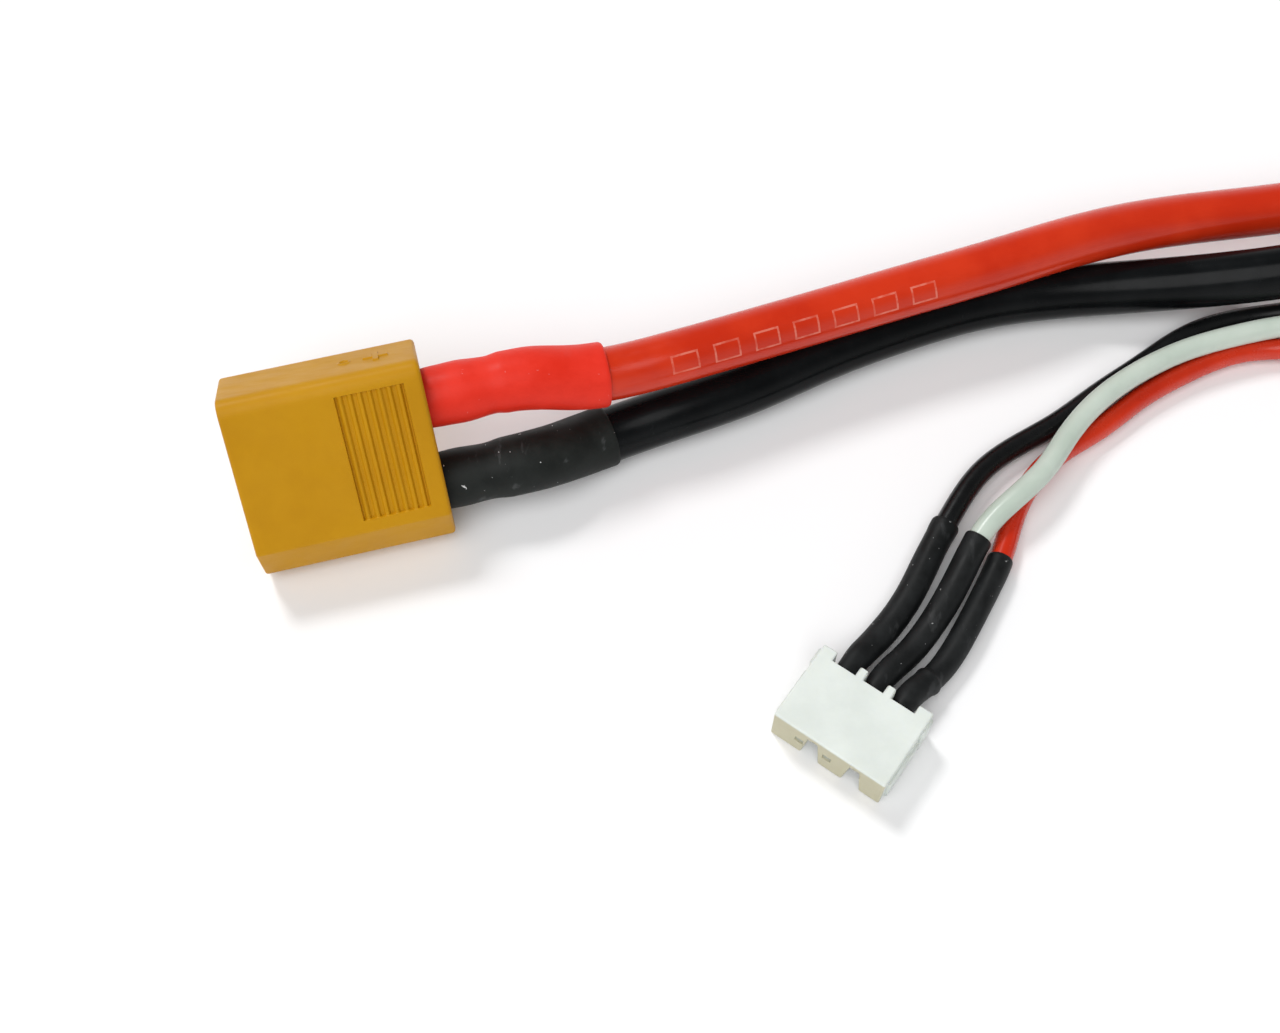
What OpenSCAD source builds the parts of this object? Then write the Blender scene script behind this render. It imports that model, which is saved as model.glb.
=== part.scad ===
// Two-cell lithium polymer battery pack for models, with its power lead and
// its balance lead. Millimetres, +Z up. The origin is the middle of the
// pack's underside, and +X runs from the lead end to the plain end.

/* [Cells] */
// Length of one cell's filled pouch, without its seal
cell_l = 88; // [60:1:130]
// Width of one cell
cell_w = 32.4; // [28:0.2:45]
// Thickness of one cell
cell_t = 7.3; // [5.5:0.1:12]
// Thickness of the pouch laminate
laminate_t = 0.15; // [0.1:0.05:0.3]
// Length of the flat seal that the tabs come out of
seal_l = 3.5; // [2.5:0.5:4.5]
// Thickness of the flat seal
seal_t = 0.6; // [0.5:0.1:0.9]
// Radius of the pouch's long edges
cell_edge_r = 1.8; // [1:0.2:2.4]
// Thickness of the double-sided tape between the cells
cell_tape_t = 0.5; // [0.3:0.1:1]

/* [Tabs and board] */
// Width of a cell tab
tab_w = 8; // [6:0.5:8.5]
// Thickness of a cell tab
tab_t = 0.2; // [0.15:0.05:0.3]
// Distance between a cell's two tabs, middle to middle
tab_pitch = 17; // [15:0.5:18]
// Room for the seals and the folded tabs, from the cells to the board
tab_room = 5.5; // [5:0.5:8]
// Thickness of the tab board
board_t = 0.8; // [0.6:0.2:1.6]
// Clearance between the board's edges and the tab guard
board_gap = 0.4; // [0.2:0.1:0.8]
// Room in front of the board for the bared and soldered lead ends
lead_room = 6; // [5:0.5:8]

/* [Wrap and padding] */
// Thickness of the shrunk outer wrap
wrap_t = 0.3; // [0.2:0.05:0.5]
// Radius of the wrap's long edges
wrap_edge_r = 2.6; // [1.5:0.1:3.4]
// How far the wrap's ends shrink in over the pads
wrap_lip = 2.6; // [1.5:0.1:3]
// Thickness of the foam pad at the lead end
front_pad_t = 2.5; // [1.5:0.5:4]
// Thickness of the foam pad at the plain end
rear_pad_t = 2.5; // [1.5:0.5:4]
// Thickness of the paper guard round the tabs
guard_t = 0.25; // [0.2:0.05:0.4]
// Thickness of the tape bands round the cells
band_t = 0.15; // [0.1:0.05:0.2]
// Width of a tape band
band_w = 12; // [6:1:20]
// Distance from each band's middle to the near end of the cells
band_inset = 16; // [10:1:25]
// Slack between the cells and the wrap, which the bands and the guard lie in
stack_gap = 0.3; // [0.3:0.05:0.5]
// Length of the label
label_l = 78; // [40:1:80]
// Width of the label
label_w = 27; // [16:0.5:27]
// Thickness of the label
label_t = 0.1; // [0.05:0.05:0.2]

/* [Power lead] */
// Diameter of the positive lead over its silicone
pos_d = 4.5; // [3.5:0.1:5.5]
// Diameter of the negative lead over its silicone
neg_d = 4.7; // [3.5:0.1:5.6]
// Diameter of the bundle of copper strands
strands_d = 3; // [2.4:0.1:3.2]
// Length of a shrunk sleeve on the power lead
sleeve_l = 14.8; // [12:0.2:18]
// Wall of a shrunk sleeve on the power lead
sleeve_wall = 0.4; // [0.3:0.05:0.6]
// Gap between the sleeve and the connector's rear wall
sleeve_gap = 0.1; // [0:0.05:0.3]

/* [Power connector] */
// Distance between the contacts
contact_pitch = 7.2; // [6.6:0.1:9]
// From a contact's middle to the housing's side
housing_side = 4.25; // [3.9:0.05:5]
// Thickness of the housing
housing_t = 8; // [7.2:0.1:10]
// Length of the housing
housing_l = 15.8; // [13:0.1:19]
// Wall round the mating cavity
housing_wall = 1.15; // [0.8:0.05:1.2]
// Chamfer along the negative side
housing_chamfer = 2.8; // [2.2:0.1:3]
// Radius of the positive side's long edges
housing_edge_r = 1.2; // [0.6:0.1:1.4]
// Depth of the mating cavity
cavity_depth = 8.6; // [7:0.1:9]
// Depth of the recess in the rear face
rear_recess = 0.5; // [0.3:0.1:0.8]
// Radius of a bullet contact
bullet_r = 1.75; // [1.6:0.05:1.9]
// Length of a bullet, in front of the cavity's floor
bullet_l = 7.4; // [6:0.1:7.6]
// Width of the slots that make a bullet springy
bullet_slot = 0.45; // [0.3:0.05:0.6]
// Outer radius of the contact's shank inside the housing
shank_r = 2; // [1.9:0.05:2.1]
// Outer radius of the solder cup
cup_r = 2.05; // [1.95:0.05:2.15]
// Length of the solder cup behind the housing
cup_l = 4.6; // [4:0.1:5.5]
// Bare strands between the cup and the insulation
bare_gap = 1.2; // [0.8:0.1:1.6]
// Length of the ribbed grip panel, along the housing
panel_l = 5.4; // [4:0.1:6]
// Width of the ribbed grip panel
panel_w = 10.4; // [8:0.1:10.6]
// Depth of the panel's recess
panel_depth = 0.3; // [0.2:0.05:0.4]
// Ribs in the panel
panel_ribs = 7; // [5:1:8]
// From the panel to the housing's rear edge
panel_inset = 1.5; // [1:0.1:3]

/* [Balance lead] */
// Diameter of a balance wire over its insulation
wire_d = 1.9; // [1.6:0.1:2]
// Diameter of a balance wire's strands
wire_core_d = 0.8; // [0.6:0.1:0.9]
// Wall of a shrunk sleeve on a balance wire
wire_sleeve_wall = 0.25; // [0.2:0.05:0.3]
// Length of a shrunk sleeve on a balance wire
wire_sleeve_l = 17; // [12:0.5:18]

/* [Balance plug] */
// Distance between the plug's circuits
plug_pitch = 2.5; // [2.4:0.1:3.2]
// From an outer circuit to the plug's side
plug_side = 2.45; // [2:0.05:3]
// Length of the plug, mating end to wire end
plug_l = 7.1; // [6:0.1:9]
// Thickness of the plug
plug_t = 4.1; // [3.8:0.1:5]
// Thickness of the plug's top wall
plug_top = 0.8; // [0.6:0.1:0.85]
// Depth of the gaps between the teeth at the wire end
tooth_gap_depth = 0.8; // [0.5:0.1:1.2]
// Width of a tooth at the wire end
tooth_w = 0.75; // [0.5:0.05:0.9]
// Width of the posts at the wire end's two corners
post_w = 1.25; // [0.8:0.05:1.3]
// Width of the keying slots in the mating end, under the top wall
key_slot_w = 0.8; // [0.6:0.1:0.9]
// Width of the keying slots at the underside
key_slot_foot = 1.6; // [0.9:0.1:1.8]
// From the plug's middle to the keying slot on the black wire's side
key_black = 1.4; // [1.3:0.1:1.8]
// From the plug's middle to the keying slot on the red wire's side
key_red = 2.35; // [2:0.05:2.6]
// Depth of the keying slots in the mating end
key_slot_depth = 1.9; // [1.2:0.1:2.4]
// How far the guide ribs stand out of the plug's two sides
guide_out = 0.25; // [0.1:0.05:0.4]
// Width of the square mouth that a header's pin goes in by
pin_mouth = 0.75; // [0.7:0.05:1]
// Clearance round a wire where it enters the plug
wire_gap = 0.05; // [0.05:0.05:0.15]
// Width of a crimp terminal
terminal_w = 1.4; // [1.2:0.05:1.5]
// Clearance round a terminal in its chamber
terminal_gap = 0.1; // [0.05:0.05:0.15]
// Thickness of the terminal's sheet metal
terminal_t = 0.2; // [0.15:0.05:0.25]

/* [Hidden] */
$fn = 48;

// A small overrun, so that a cut passes right through a face
over = 0.2;

// --- The pack, front to rear ---
stack_h = 2 * cell_t + cell_tape_t;
pack_w = cell_w + 2 * (stack_gap + wrap_t);
pack_h = stack_h + 2 * (stack_gap + wrap_t);
pack_l = cell_l + tab_room + board_t + lead_room + front_pad_t + rear_pad_t + 2 * wrap_t;
front_x = -pack_l / 2;
pad_x = front_x + wrap_t;
lead_room_x = pad_x + front_pad_t;
board_x = lead_room_x + lead_room;
tab_x = board_x + board_t;
cell_x = tab_x + tab_room;
cell_end_x = cell_x + cell_l;
inner_w = pack_w - 2 * wrap_t;
inner_h = pack_h - 2 * wrap_t;
lower_z = wrap_t + stack_gap;
upper_z = lower_z + cell_t + cell_tape_t;
mid_z = pack_h / 2;
guard_w = inner_w;
guard_h = inner_h;
board_w = guard_w - 2 * (guard_t + board_gap);
board_h = guard_h - 2 * (guard_t + board_gap);

// --- The power connector: where its rear face lies, and how it is turned ---
// It lies on its chamfered side, rolled by conn_roll and turned by conn_yaw.
conn_roll = 50;
conn_yaw = 14.2;
housing_w = contact_pitch + 2 * housing_side;
conn_z = max(
    housing_w / 2 * sin(conn_roll) + (housing_t / 2 - housing_chamfer) * cos(conn_roll),
    (housing_w / 2 - housing_chamfer) * sin(conn_roll) + housing_t / 2 * cos(conn_roll));
conn_pos = [front_x - 88.6, -16.5, conn_z];
conn_axis = [cos(conn_yaw), sin(conn_yaw), 0];
conn_side = [-sin(conn_yaw) * cos(conn_roll), cos(conn_yaw) * cos(conn_roll), sin(conn_roll)];
function cup_point(sign, back) =
    conn_pos + sign * contact_pitch / 2 * conn_side + back * conn_axis;
strip_x = cup_l + bare_gap;

// --- The balance plug: the middle of its wire end, and how it is turned ---
plug_yaw = -35.8;
plug_w = 2 * plug_pitch + 2 * plug_side;
plug_pos = [front_x - 53.6, -36.2, 0];
plug_row = [cos(plug_yaw), sin(plug_yaw), 0];
plug_axis = [-sin(plug_yaw), cos(plug_yaw), 0];
wire_z = plug_t / 2;
wire_start = -2;
function plug_point(circuit, back) =
    plug_pos + circuit * plug_pitch * plug_row + back * plug_axis + [0, 0, wire_z];

// --- Lead routes, chosen by hand ---
// Each point is measured from the middle of the pack's lead end on the
// table: x is negative away from the pack, and z is the height. The black
// lead lies on the table, and the red one rests on it where they cross.
rest_gap = 0.05;
low_z = neg_d / 2 + rest_gap;
over_z = neg_d + pos_d / 2 + rest_gap;
positive_route = [
    [-77, -11.4, over_z + 1.2], [-70, -9.5, over_z + 0.8], [-63, -6.9, over_z + 0.4],
    [-56, -4.3, over_z + 0.1], [-49, -1.8, over_z], [-42, 0.6, over_z],
    [-35, 3.3, over_z - 0.3], [-28, 5.8, 5.9], [-21, 7.4, 5.3],
    [-14, 8.5, 5.2], [-7, 9.2, 6.4], [0, 9.5, 8]
];
negative_route = [
    [-77, -14.6, low_z + 0.2], [-70, -11.6, low_z], [-63, -8.8, low_z],
    [-56, -5.3, low_z], [-49, -2.3, low_z], [-42, 0, low_z], [-35, 1.2, low_z],
    [-28, 1.5, low_z + 0.5], [-21, 1.4, 4.1], [-14, 1.5, 5.6], [-7, 2.3, 7], [0, 3, 8]
];
// The thin wires lie on the table too, and the white one runs over the red
wire_low_z = wire_d / 2 + rest_gap;
wire_over_z = wire_low_z + wire_d + 2 * rest_gap;
black_route = [
    [-53.1, -31.75, 1.3], [-50.5, -28.4, 1.3], [-48.2, -24.2, 1.3], [-45.8, -20, 1.3],
    [-43.2, -16.4, 1.2], [-40.6, -14.2, wire_low_z], [-36.4, -11.6, wire_low_z],
    [-32.1, -8.4, wire_low_z], [-28, -5.5, wire_low_z], [-23.1, -2.2, wire_low_z],
    [-18.1, -0.6, wire_low_z], [-12.5, -0.2, 1.8], [-6, -0.5, 4.2], [0, -1, 6]
];
white_route = [
    [-50.85, -33.2, 1.35], [-48.2, -29.9, 1.5], [-45.9, -26.1, 1.9], [-43.6, -22.3, 2.6],
    [-40.8, -19.6, wire_over_z + 0.1], [-38.2, -17, wire_over_z + 0.1],
    [-36, -13.9, wire_over_z], [-32.9, -10.4, wire_over_z], [-29, -7.5, wire_over_z],
    [-24.6, -5.2, wire_over_z - 0.1], [-19.8, -3.6, wire_over_z - 0.2],
    [-15, -2.6, wire_over_z - 0.1], [-8, -2.8, 4.2], [0, -3.5, 6]
];
red_route = [
    [-48.85, -35, 1.35], [-46.4, -31.8, 1.3], [-44.2, -28, 1.3], [-42.3, -24.3, 1.2],
    [-40.8, -20.4, wire_low_z], [-38.5, -16.6, wire_low_z], [-36.2, -14.4, wire_low_z],
    [-32.7, -12.1, wire_low_z], [-28.7, -9, wire_low_z], [-24, -6.2, wire_low_z],
    [-19, -4.2, wire_low_z], [-13.6, -4.1, 1.5], [-7, -5.1, 3.8], [0, -6, 6]
];
// Insulation ends this far short of the board, and the strands go on to it
strip_in = 3.6;
wire_strip_in = 2.4;

function from_front(points) = [for (p = points) p + [front_x, 0, 0]];
function last(list) = list[len(list) - 1];
function tail(points, strip) =
    [board_x - strip, last(points)[1], last(points)[2]];

// A power lead: out of its cup in a straight line, along its route, and
// into the pack as far as its stripped end.
function power_path(sign, points) = concat(
    [cup_point(sign, strip_x), cup_point(sign, strip_x + 1.2)],
    from_front(points), [tail(points, strip_in)]);
// A balance wire: from its crimp, out of the plug, and along its route.
function balance_path(circuit, points) = concat(
    [plug_point(circuit, wire_start), plug_point(circuit, 1)],
    from_front(points), [tail(points, wire_strip_in)]);

positive_path = power_path(1, positive_route);
negative_path = power_path(-1, negative_route);
black_path = balance_path(-1, black_route);
white_path = balance_path(0, white_route);
red_path = balance_path(1, red_route);

// --- Sweeping a round section along a path ---
lead_sides = 12;
wire_sides = 8;
function unit(v) = v / norm(v);
// Direction of travel at point i: the bisector of the two runs that meet there
function heading(path, i) =
    i == 0 ? unit(path[1] - path[0])
    : i == len(path) - 1 ? unit(path[i] - path[i - 1])
    : unit(unit(path[i + 1] - path[i]) + unit(path[i] - path[i - 1]));
// Points of a ring of radius r round p, square to the heading t
function ring(p, t, r, n) =
    let (s = unit(cross([0, 0, 1], t)), u = cross(t, s))
    [for (k = [0 : n - 1]) p + r * (cos(360 * k / n) * s + sin(360 * k / n) * u)];
function rings(path, radii, n) =
    [for (i = [0 : len(path) - 1]) each ring(path[i], heading(path, i), radii[i], n)];
// The part of a path up to the distance s from its start
function trimmed(path, s, i = 0) =
    i >= len(path) - 1 ? [path[i]]
    : let (run = norm(path[i + 1] - path[i]))
      s <= run ? [path[i], path[i] + s / run * (path[i + 1] - path[i])]
      : concat([path[i]], trimmed(path, s - run, i + 1));
function same(value, list) = [for (item = list) value];
// Quads between neighbouring rings; flip turns them to face inwards
function skin(count, n, first, flip) = [
    for (i = [0 : count - 2]) for (k = [0 : n - 1])
        let (a = first + i * n + k, b = first + i * n + (k + 1) % n)
        flip ? [b, a, a + n, b + n] : [a, b, b + n, a + n]
];

// A solid round cord
module cord(path, d, n) {
    count = len(path);
    polyhedron(
        rings(path, same(d / 2, path), n),
        concat(
            skin(count, n, 0, false),
            [[for (k = [n - 1 : -1 : 0]) k]],
            [[for (k = [0 : n - 1]) (count - 1) * n + k]]),
        convexity = 8);
}

// A shrunk sleeve: a hollow tube whose inside follows what it covers
module sleeve(path, inner, wall, n) {
    count = len(path);
    outer_n = count * n;
    polyhedron(
        concat(
            rings(path, [for (r = inner) r + wall], n),
            rings(path, inner, n)),
        concat(
            skin(count, n, 0, false),
            skin(count, n, outer_n, true),
            [for (k = [0 : n - 1]) [(k + 1) % n, k, outer_n + k, outer_n + (k + 1) % n]],
            [for (k = [0 : n - 1])
                let (a = (count - 1) * n + k, b = (count - 1) * n + (k + 1) % n)
                [a, b, outer_n + b, outer_n + a]]),
        convexity = 8);
}

// --- Sections and blocks that several pieces share ---
// A rectangle, w by h, centred, with corners of radius r
module rounded(w, h, r) {
    square([w - 2 * r, h], center = true);
    square([w, h - 2 * r], center = true);
    for (sy = [-1, 1], sz = [-1, 1])
        translate([sy * (w / 2 - r), sz * (h / 2 - r)]) circle(r);
}

// A block along X from x0, length l, with that rounded section in Y and Z
module bar(x0, l, w, h, r, z = mid_z) {
    translate([x0, 0, z]) rotate([90, 0, 90]) linear_extrude(l) rounded(w, h, r);
}

// A square-edged block, centred on Y and on the height z
module slab(x0, l, w, h, z = mid_z, y = 0) {
    translate([x0, y - w / 2, z - h / 2]) cube([l, w, h]);
}

// --- The pack's outside ---
module shrink_wrap() {
    color("#1d1f24") difference() {
        bar(front_x, pack_l, pack_w, pack_h, wrap_edge_r);
        bar(pad_x, pack_l - 2 * wrap_t, inner_w, inner_h, wrap_edge_r - wrap_t);
        bar(front_x - over, pack_l + 2 * over,
            pack_w - 2 * wrap_lip, pack_h - 2 * wrap_lip, wrap_edge_r);
    }
}

module label() {
    color("#d8a024") translate([(cell_x + cell_end_x) / 2, 0, pack_h])
        linear_extrude(label_t) rounded(label_l, label_w, 2);
}

module pad(x0, l) {
    bar(x0, l, inner_w, inner_h, wrap_edge_r - wrap_t);
}

module lead_hole(point, d) {
    translate([pad_x - over, point[1], point[2]])
        rotate([0, 90, 0]) cylinder(h = front_pad_t + 2 * over, d = d);
}

module front_pad() {
    color("#3a3b3d") difference() {
        pad(pad_x, front_pad_t);
        lead_hole(last(positive_route), pos_d);
        lead_hole(last(negative_route), neg_d);
        for (route = [black_route, white_route, red_route])
            lead_hole(last(route), wire_d);
    }
}

module rear_pad() {
    color("#3a3b3d") pad(cell_end_x, rear_pad_t);
}

// --- Cells ---
// Middle of a tab on the side given: +1 is the terminal side, -1 the link side
function tab_y(side) = side * tab_pitch / 2;

module tab_slots(z) {
    for (side = [-1, 1])
        slab(cell_x - seal_l - over, seal_l + laminate_t + 2 * over, tab_w, tab_t, z, tab_y(side));
}

module cell_pouch(z0) {
    seal_z = z0 + cell_t / 2;
    difference() {
        union() {
            bar(cell_x, cell_l, cell_w, cell_t, cell_edge_r, seal_z);
            slab(cell_x - seal_l, seal_l, cell_w - 2 * cell_edge_r, seal_t, seal_z);
        }
        bar(cell_x + laminate_t, cell_l - 2 * laminate_t,
            cell_w - 2 * laminate_t, cell_t - 2 * laminate_t, cell_edge_r - laminate_t, seal_z);
        tab_slots(seal_z);
    }
}

module electrode_stack(z0) {
    stack_edge = 0.2;
    bar(cell_x + laminate_t, cell_l - 2 * laminate_t,
        cell_w - 2 * (laminate_t + stack_edge), cell_t - 2 * (laminate_t + stack_edge),
        cell_edge_r - laminate_t, z0 + cell_t / 2);
}

module cell_pouch_lower() { color("#c3c6c9") cell_pouch(lower_z); }
module cell_pouch_upper() { color("#c3c6c9") cell_pouch(upper_z); }
module electrode_stack_lower() { color("#2b2b2d") electrode_stack(lower_z); }
module electrode_stack_upper() { color("#2b2b2d") electrode_stack(upper_z); }

module cell_tape() {
    color("#e6e4da") slab(cell_x + 4, cell_l - 8, cell_w - 8, cell_tape_t);
}

module band(x) {
    difference() {
        bar(x - band_w / 2, band_w, cell_w + 2 * band_t, stack_h + 2 * band_t, cell_edge_r + band_t);
        bar(x - band_w / 2 - over, band_w + 2 * over, cell_w, stack_h, cell_edge_r);
    }
}
module band_front() { color("#c88a2a") band(cell_x + band_inset); }
module band_rear() { color("#c88a2a") band(cell_end_x - band_inset); }

module tab_guard() {
    color("#7b5b3a") difference() {
        bar(lead_room_x, cell_x - lead_room_x, guard_w, guard_h, wrap_edge_r - wrap_t);
        bar(lead_room_x - over, cell_x - lead_room_x + 2 * over,
            guard_w - 2 * guard_t, guard_h - 2 * guard_t, wrap_edge_r - wrap_t - guard_t);
    }
}

// --- Tabs and board ---
// A tab comes straight out of its seal and is folded along the board's rear.
// fold is +1 when it turns up and -1 when it turns down.
module tab(z0, side, fold) {
    fold_l = cell_t / 2 - 2;
    seal_z = z0 + cell_t / 2;
    fold_z = seal_z + fold * (fold_l / 2 - tab_t / 2);
    union() {
        slab(tab_x, cell_x + laminate_t - tab_x, tab_w, tab_t, seal_z, tab_y(side));
        slab(tab_x, tab_t, tab_w, fold_l, fold_z, tab_y(side));
    }
}
module tab_lower_negative() { color("#b4a893") tab(lower_z, 1, -1); }
module tab_lower_positive() { color("#d5d8da") tab(lower_z, -1, 1); }
module tab_upper_positive() { color("#d5d8da") tab(upper_z, 1, 1); }
module tab_upper_negative() { color("#b4a893") tab(upper_z, -1, -1); }

module tab_board() {
    color("#1f6b3a") bar(board_x, board_t, board_w, board_h, wrap_edge_r - wrap_t - guard_t);
}

// Seams of solder along the free edge of each folded tab
module tab_solder() {
    seam_r = 0.6;
    color("#cfd2d4") for (end = [[lower_z, 1, -1], [lower_z, -1, 1], [upper_z, 1, 1], [upper_z, -1, -1]])
        difference() {
            translate([tab_x, tab_y(end[1]), end[0] + cell_t / 2 + end[2] * (cell_t / 2 - 2 - tab_t / 2)])
                rotate([90, 0, 0]) cylinder(h = tab_w - 1, r = seam_r, center = true);
            slab(tab_x - 2, 2, pack_w, pack_h);
            tab(end[0], end[1], end[2]);
        }
}

// Solder cones on the board's front, one round each bared lead end
module solder_cone(point, r, d) {
    translate([board_x, point[1], point[2]]) rotate([0, -90, 0]) difference() {
        cylinder(h = 1.6, r1 = r, r2 = d / 2 + 0.15);
        translate([0, 0, -over]) cylinder(h = 2, d = d);
    }
}
module lead_solder() {
    color("#cfd2d4") {
        solder_cone(last(positive_route), 2.6, strands_d);
        solder_cone(last(negative_route), 2.6, strands_d);
        for (route = [black_route, white_route, red_route])
            solder_cone(last(route), 1.05, wire_core_d);
    }
}

// --- Power lead ---
module lead_positive() { color("#c8341e") cord(positive_path, pos_d, lead_sides); }
module lead_negative() { color("#17181a") cord(negative_path, neg_d, lead_sides); }

// Bared, tinned strands at both ends of a lead: in the cup, and on the board
module strands(sign, route) {
    color("#c98a5a") {
        translate(cup_point(sign, 0)) rotate([0, 90, conn_yaw])
            translate([0, 0, cup_floor]) cylinder(h = strip_x - cup_floor, d = strands_d);
        translate([board_x - strip_in, last(route)[1], last(route)[2]])
            rotate([0, 90, 0]) cylinder(h = strip_in, d = strands_d);
    }
}
module strands_positive() { strands(1, positive_route); }
module strands_negative() { strands(-1, negative_route); }

module power_sleeve(sign, path, d) {
    whole = concat([cup_point(sign, sleeve_gap), cup_point(sign, cup_l)], path);
    covered = trimmed(whole, sleeve_l);
    // the inside clears the round cup and shares the lead's own flats
    inner = [for (i = [0 : len(covered) - 1]) i < 2 ? cup_r / cos(180 / lead_sides) : d / 2];
    sleeve(covered, inner, sleeve_wall, lead_sides);
}
module sleeve_positive() { color("#dd2f2a") power_sleeve(1, positive_path, pos_d); }
module sleeve_negative() { color("#232426") power_sleeve(-1, negative_path, neg_d); }

// --- Power connector ---
// Its own frame: X runs back along the leads from the rear face, Y to the
// positive side, Z out of the wide face.
module at_connector() {
    translate(conn_pos) rotate([conn_roll, 0, conn_yaw]) children();
}

// Outline of the housing, drawn inset by e: two rounded corners on the
// positive side and two chamfers on the negative side.
module housing_outline(e) {
    w = housing_w / 2 - e;
    t = housing_t / 2 - e;
    c = housing_chamfer - e * (2 - sqrt(2));
    r = max(housing_edge_r - e, 0.25);
    polygon([
        [-w, c - t], [c - w, -t], [w - r, -t], [w, r - t],
        [w, t - r], [w - r, t], [c - w, t], [-w, t - c]
    ]);
    for (s = [-1, 1]) translate([w - r, s * (t - r)]) circle(r);
}

module housing_prism(x0, l, e) {
    translate([x0, 0, 0]) rotate([90, 0, 90]) linear_extrude(l) housing_outline(e);
}

module both_contacts() {
    for (s = [-1, 1]) translate([0, s * contact_pitch / 2, 0]) rotate([0, 90, 0]) children();
}

cavity_floor = cavity_depth - housing_l;
// How far the cup's floor lies behind (or in front of) the rear face
cup_floor = 0.6;

// The panel's recess, with its ribs left standing just below the wide face
module panel_recess() {
    rib_step = panel_l / panel_ribs;
    rib_w = rib_step * 0.45;
    rib_sink = 0.08;
    panel_x = -panel_inset - panel_l;
    panel_y = housing_w / 2 - housing_edge_r - panel_w - 0.3;
    difference() {
        translate([panel_x, panel_y, housing_t / 2 - panel_depth])
            cube([panel_l, panel_w, panel_depth + over]);
        for (i = [0 : panel_ribs - 1])
            translate([panel_x + (i + 0.5) * rib_step - rib_w / 2, panel_y - over, 0])
                cube([rib_w, panel_w + 2 * over, housing_t / 2 - rib_sink]);
    }
}

module sign_bar(l, w) {
    rise = 0.15;
    translate([-l / 2, -w / 2, 0]) cube([l, w, rise]);
}

module connector_housing() {
    sign_x = -3.2;
    color("#d39a1e") at_connector() difference() {
        union() {
            housing_prism(-housing_l, housing_l, 0);
            translate([sign_x, housing_w / 2, 0]) rotate([-90, 0, 0]) {
                sign_bar(1.9, 0.5);
                sign_bar(0.5, 1.9);
            }
            translate([sign_x, -housing_w / 2, 0]) rotate([90, 0, 0]) sign_bar(1.9, 0.5);
        }
        housing_prism(-housing_l - over, cavity_depth + over, housing_wall);
        housing_prism(-rear_recess, rear_recess + over, 0.7);
        both_contacts() translate([0, 0, cavity_floor - over])
            cylinder(h = housing_l, r = shank_r);
        panel_recess();
        mirror([0, 0, 1]) panel_recess();
    }
}

module contact(sign) {
    nose = 0.5;
    shank_end = -rear_recess;
    at_connector() translate([0, sign * contact_pitch / 2, 0]) rotate([0, 90, 0])
        difference() {
            rotate_extrude() polygon([
                [0, cavity_floor - bullet_l], [bullet_r - nose, cavity_floor - bullet_l],
                [bullet_r, cavity_floor - bullet_l + nose * 1.6], [bullet_r, cavity_floor],
                [shank_r, cavity_floor], [shank_r, shank_end], [cup_r, shank_end],
                [cup_r, cup_l], [strands_d / 2, cup_l], [strands_d / 2, cup_floor], [0, cup_floor]
            ]);
            for (turn = [0, 90]) rotate([0, 0, turn + 45])
                translate([-bullet_r - over, -bullet_slot / 2, cavity_floor - bullet_l - over])
                    cube([2 * (bullet_r + over), bullet_slot, bullet_l - 1.2]);
            // the cup is cut open on one side, where the solder is fed in
            translate([-cup_r - over, -cup_r, 1.6]) cube([over + 0.9, 2 * cup_r, cup_l - 1.6 + over]);
        }
}
module contact_positive() { color("#d9b45a") contact(1); }
module contact_negative() { color("#d9b45a") contact(-1); }

// --- Balance lead ---
module balance_wire_black() { color("#1b1c1e") cord(black_path, wire_d, wire_sides); }
module balance_wire_white() { color("#dfe6df") cord(white_path, wire_d, wire_sides); }
module balance_wire_red() { color("#c93a1c") cord(red_path, wire_d, wire_sides); }

module wire_sleeve(circuit, path) {
    whole = concat(
        [plug_point(circuit, wire_gap)],
        [for (i = [1 : len(path) - 1]) path[i]]);
    covered = trimmed(whole, wire_sleeve_l);
    sleeve(covered, same(wire_d / 2, covered), wire_sleeve_wall, wire_sides);
}
module balance_sleeve_black() { color("#222325") wire_sleeve(-1, black_path); }
module balance_sleeve_white() { color("#222325") wire_sleeve(0, white_path); }
module balance_sleeve_red() { color("#222325") wire_sleeve(1, red_path); }

// Bared strands of the three wires: in the crimps, and on the board
module balance_strands() {
    color("#c98a5a") {
        for (circuit = [-1 : 1])
            translate(plug_point(circuit, wire_start)) rotate([90, 0, plug_yaw])
                cylinder(h = crimp_l, d = wire_core_d);
        for (route = [black_route, white_route, red_route])
            translate([board_x - wire_strip_in, last(route)[1], last(route)[2]])
                rotate([0, 90, 0]) cylinder(h = wire_strip_in, d = wire_core_d);
    }
}

// --- Balance plug ---
// Its own frame: X along the row of circuits, Y back along the wires from
// the wire end, Z up from the underside.
module at_plug() {
    translate(plug_pos) rotate([0, 0, plug_yaw]) children();
}

chamber_w = terminal_w + 2 * terminal_gap;
crimp_l = 1.6;
chamber_h = plug_t - 2 * plug_top;
mouth_wall = 0.8;

// A rib across both sides, from y0 and l long, up to the height h
module guide_rib(y0, l, h) {
    translate([-plug_w / 2 - guide_out, y0, 0]) cube([plug_w + 2 * guide_out, l, h]);
}

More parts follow.
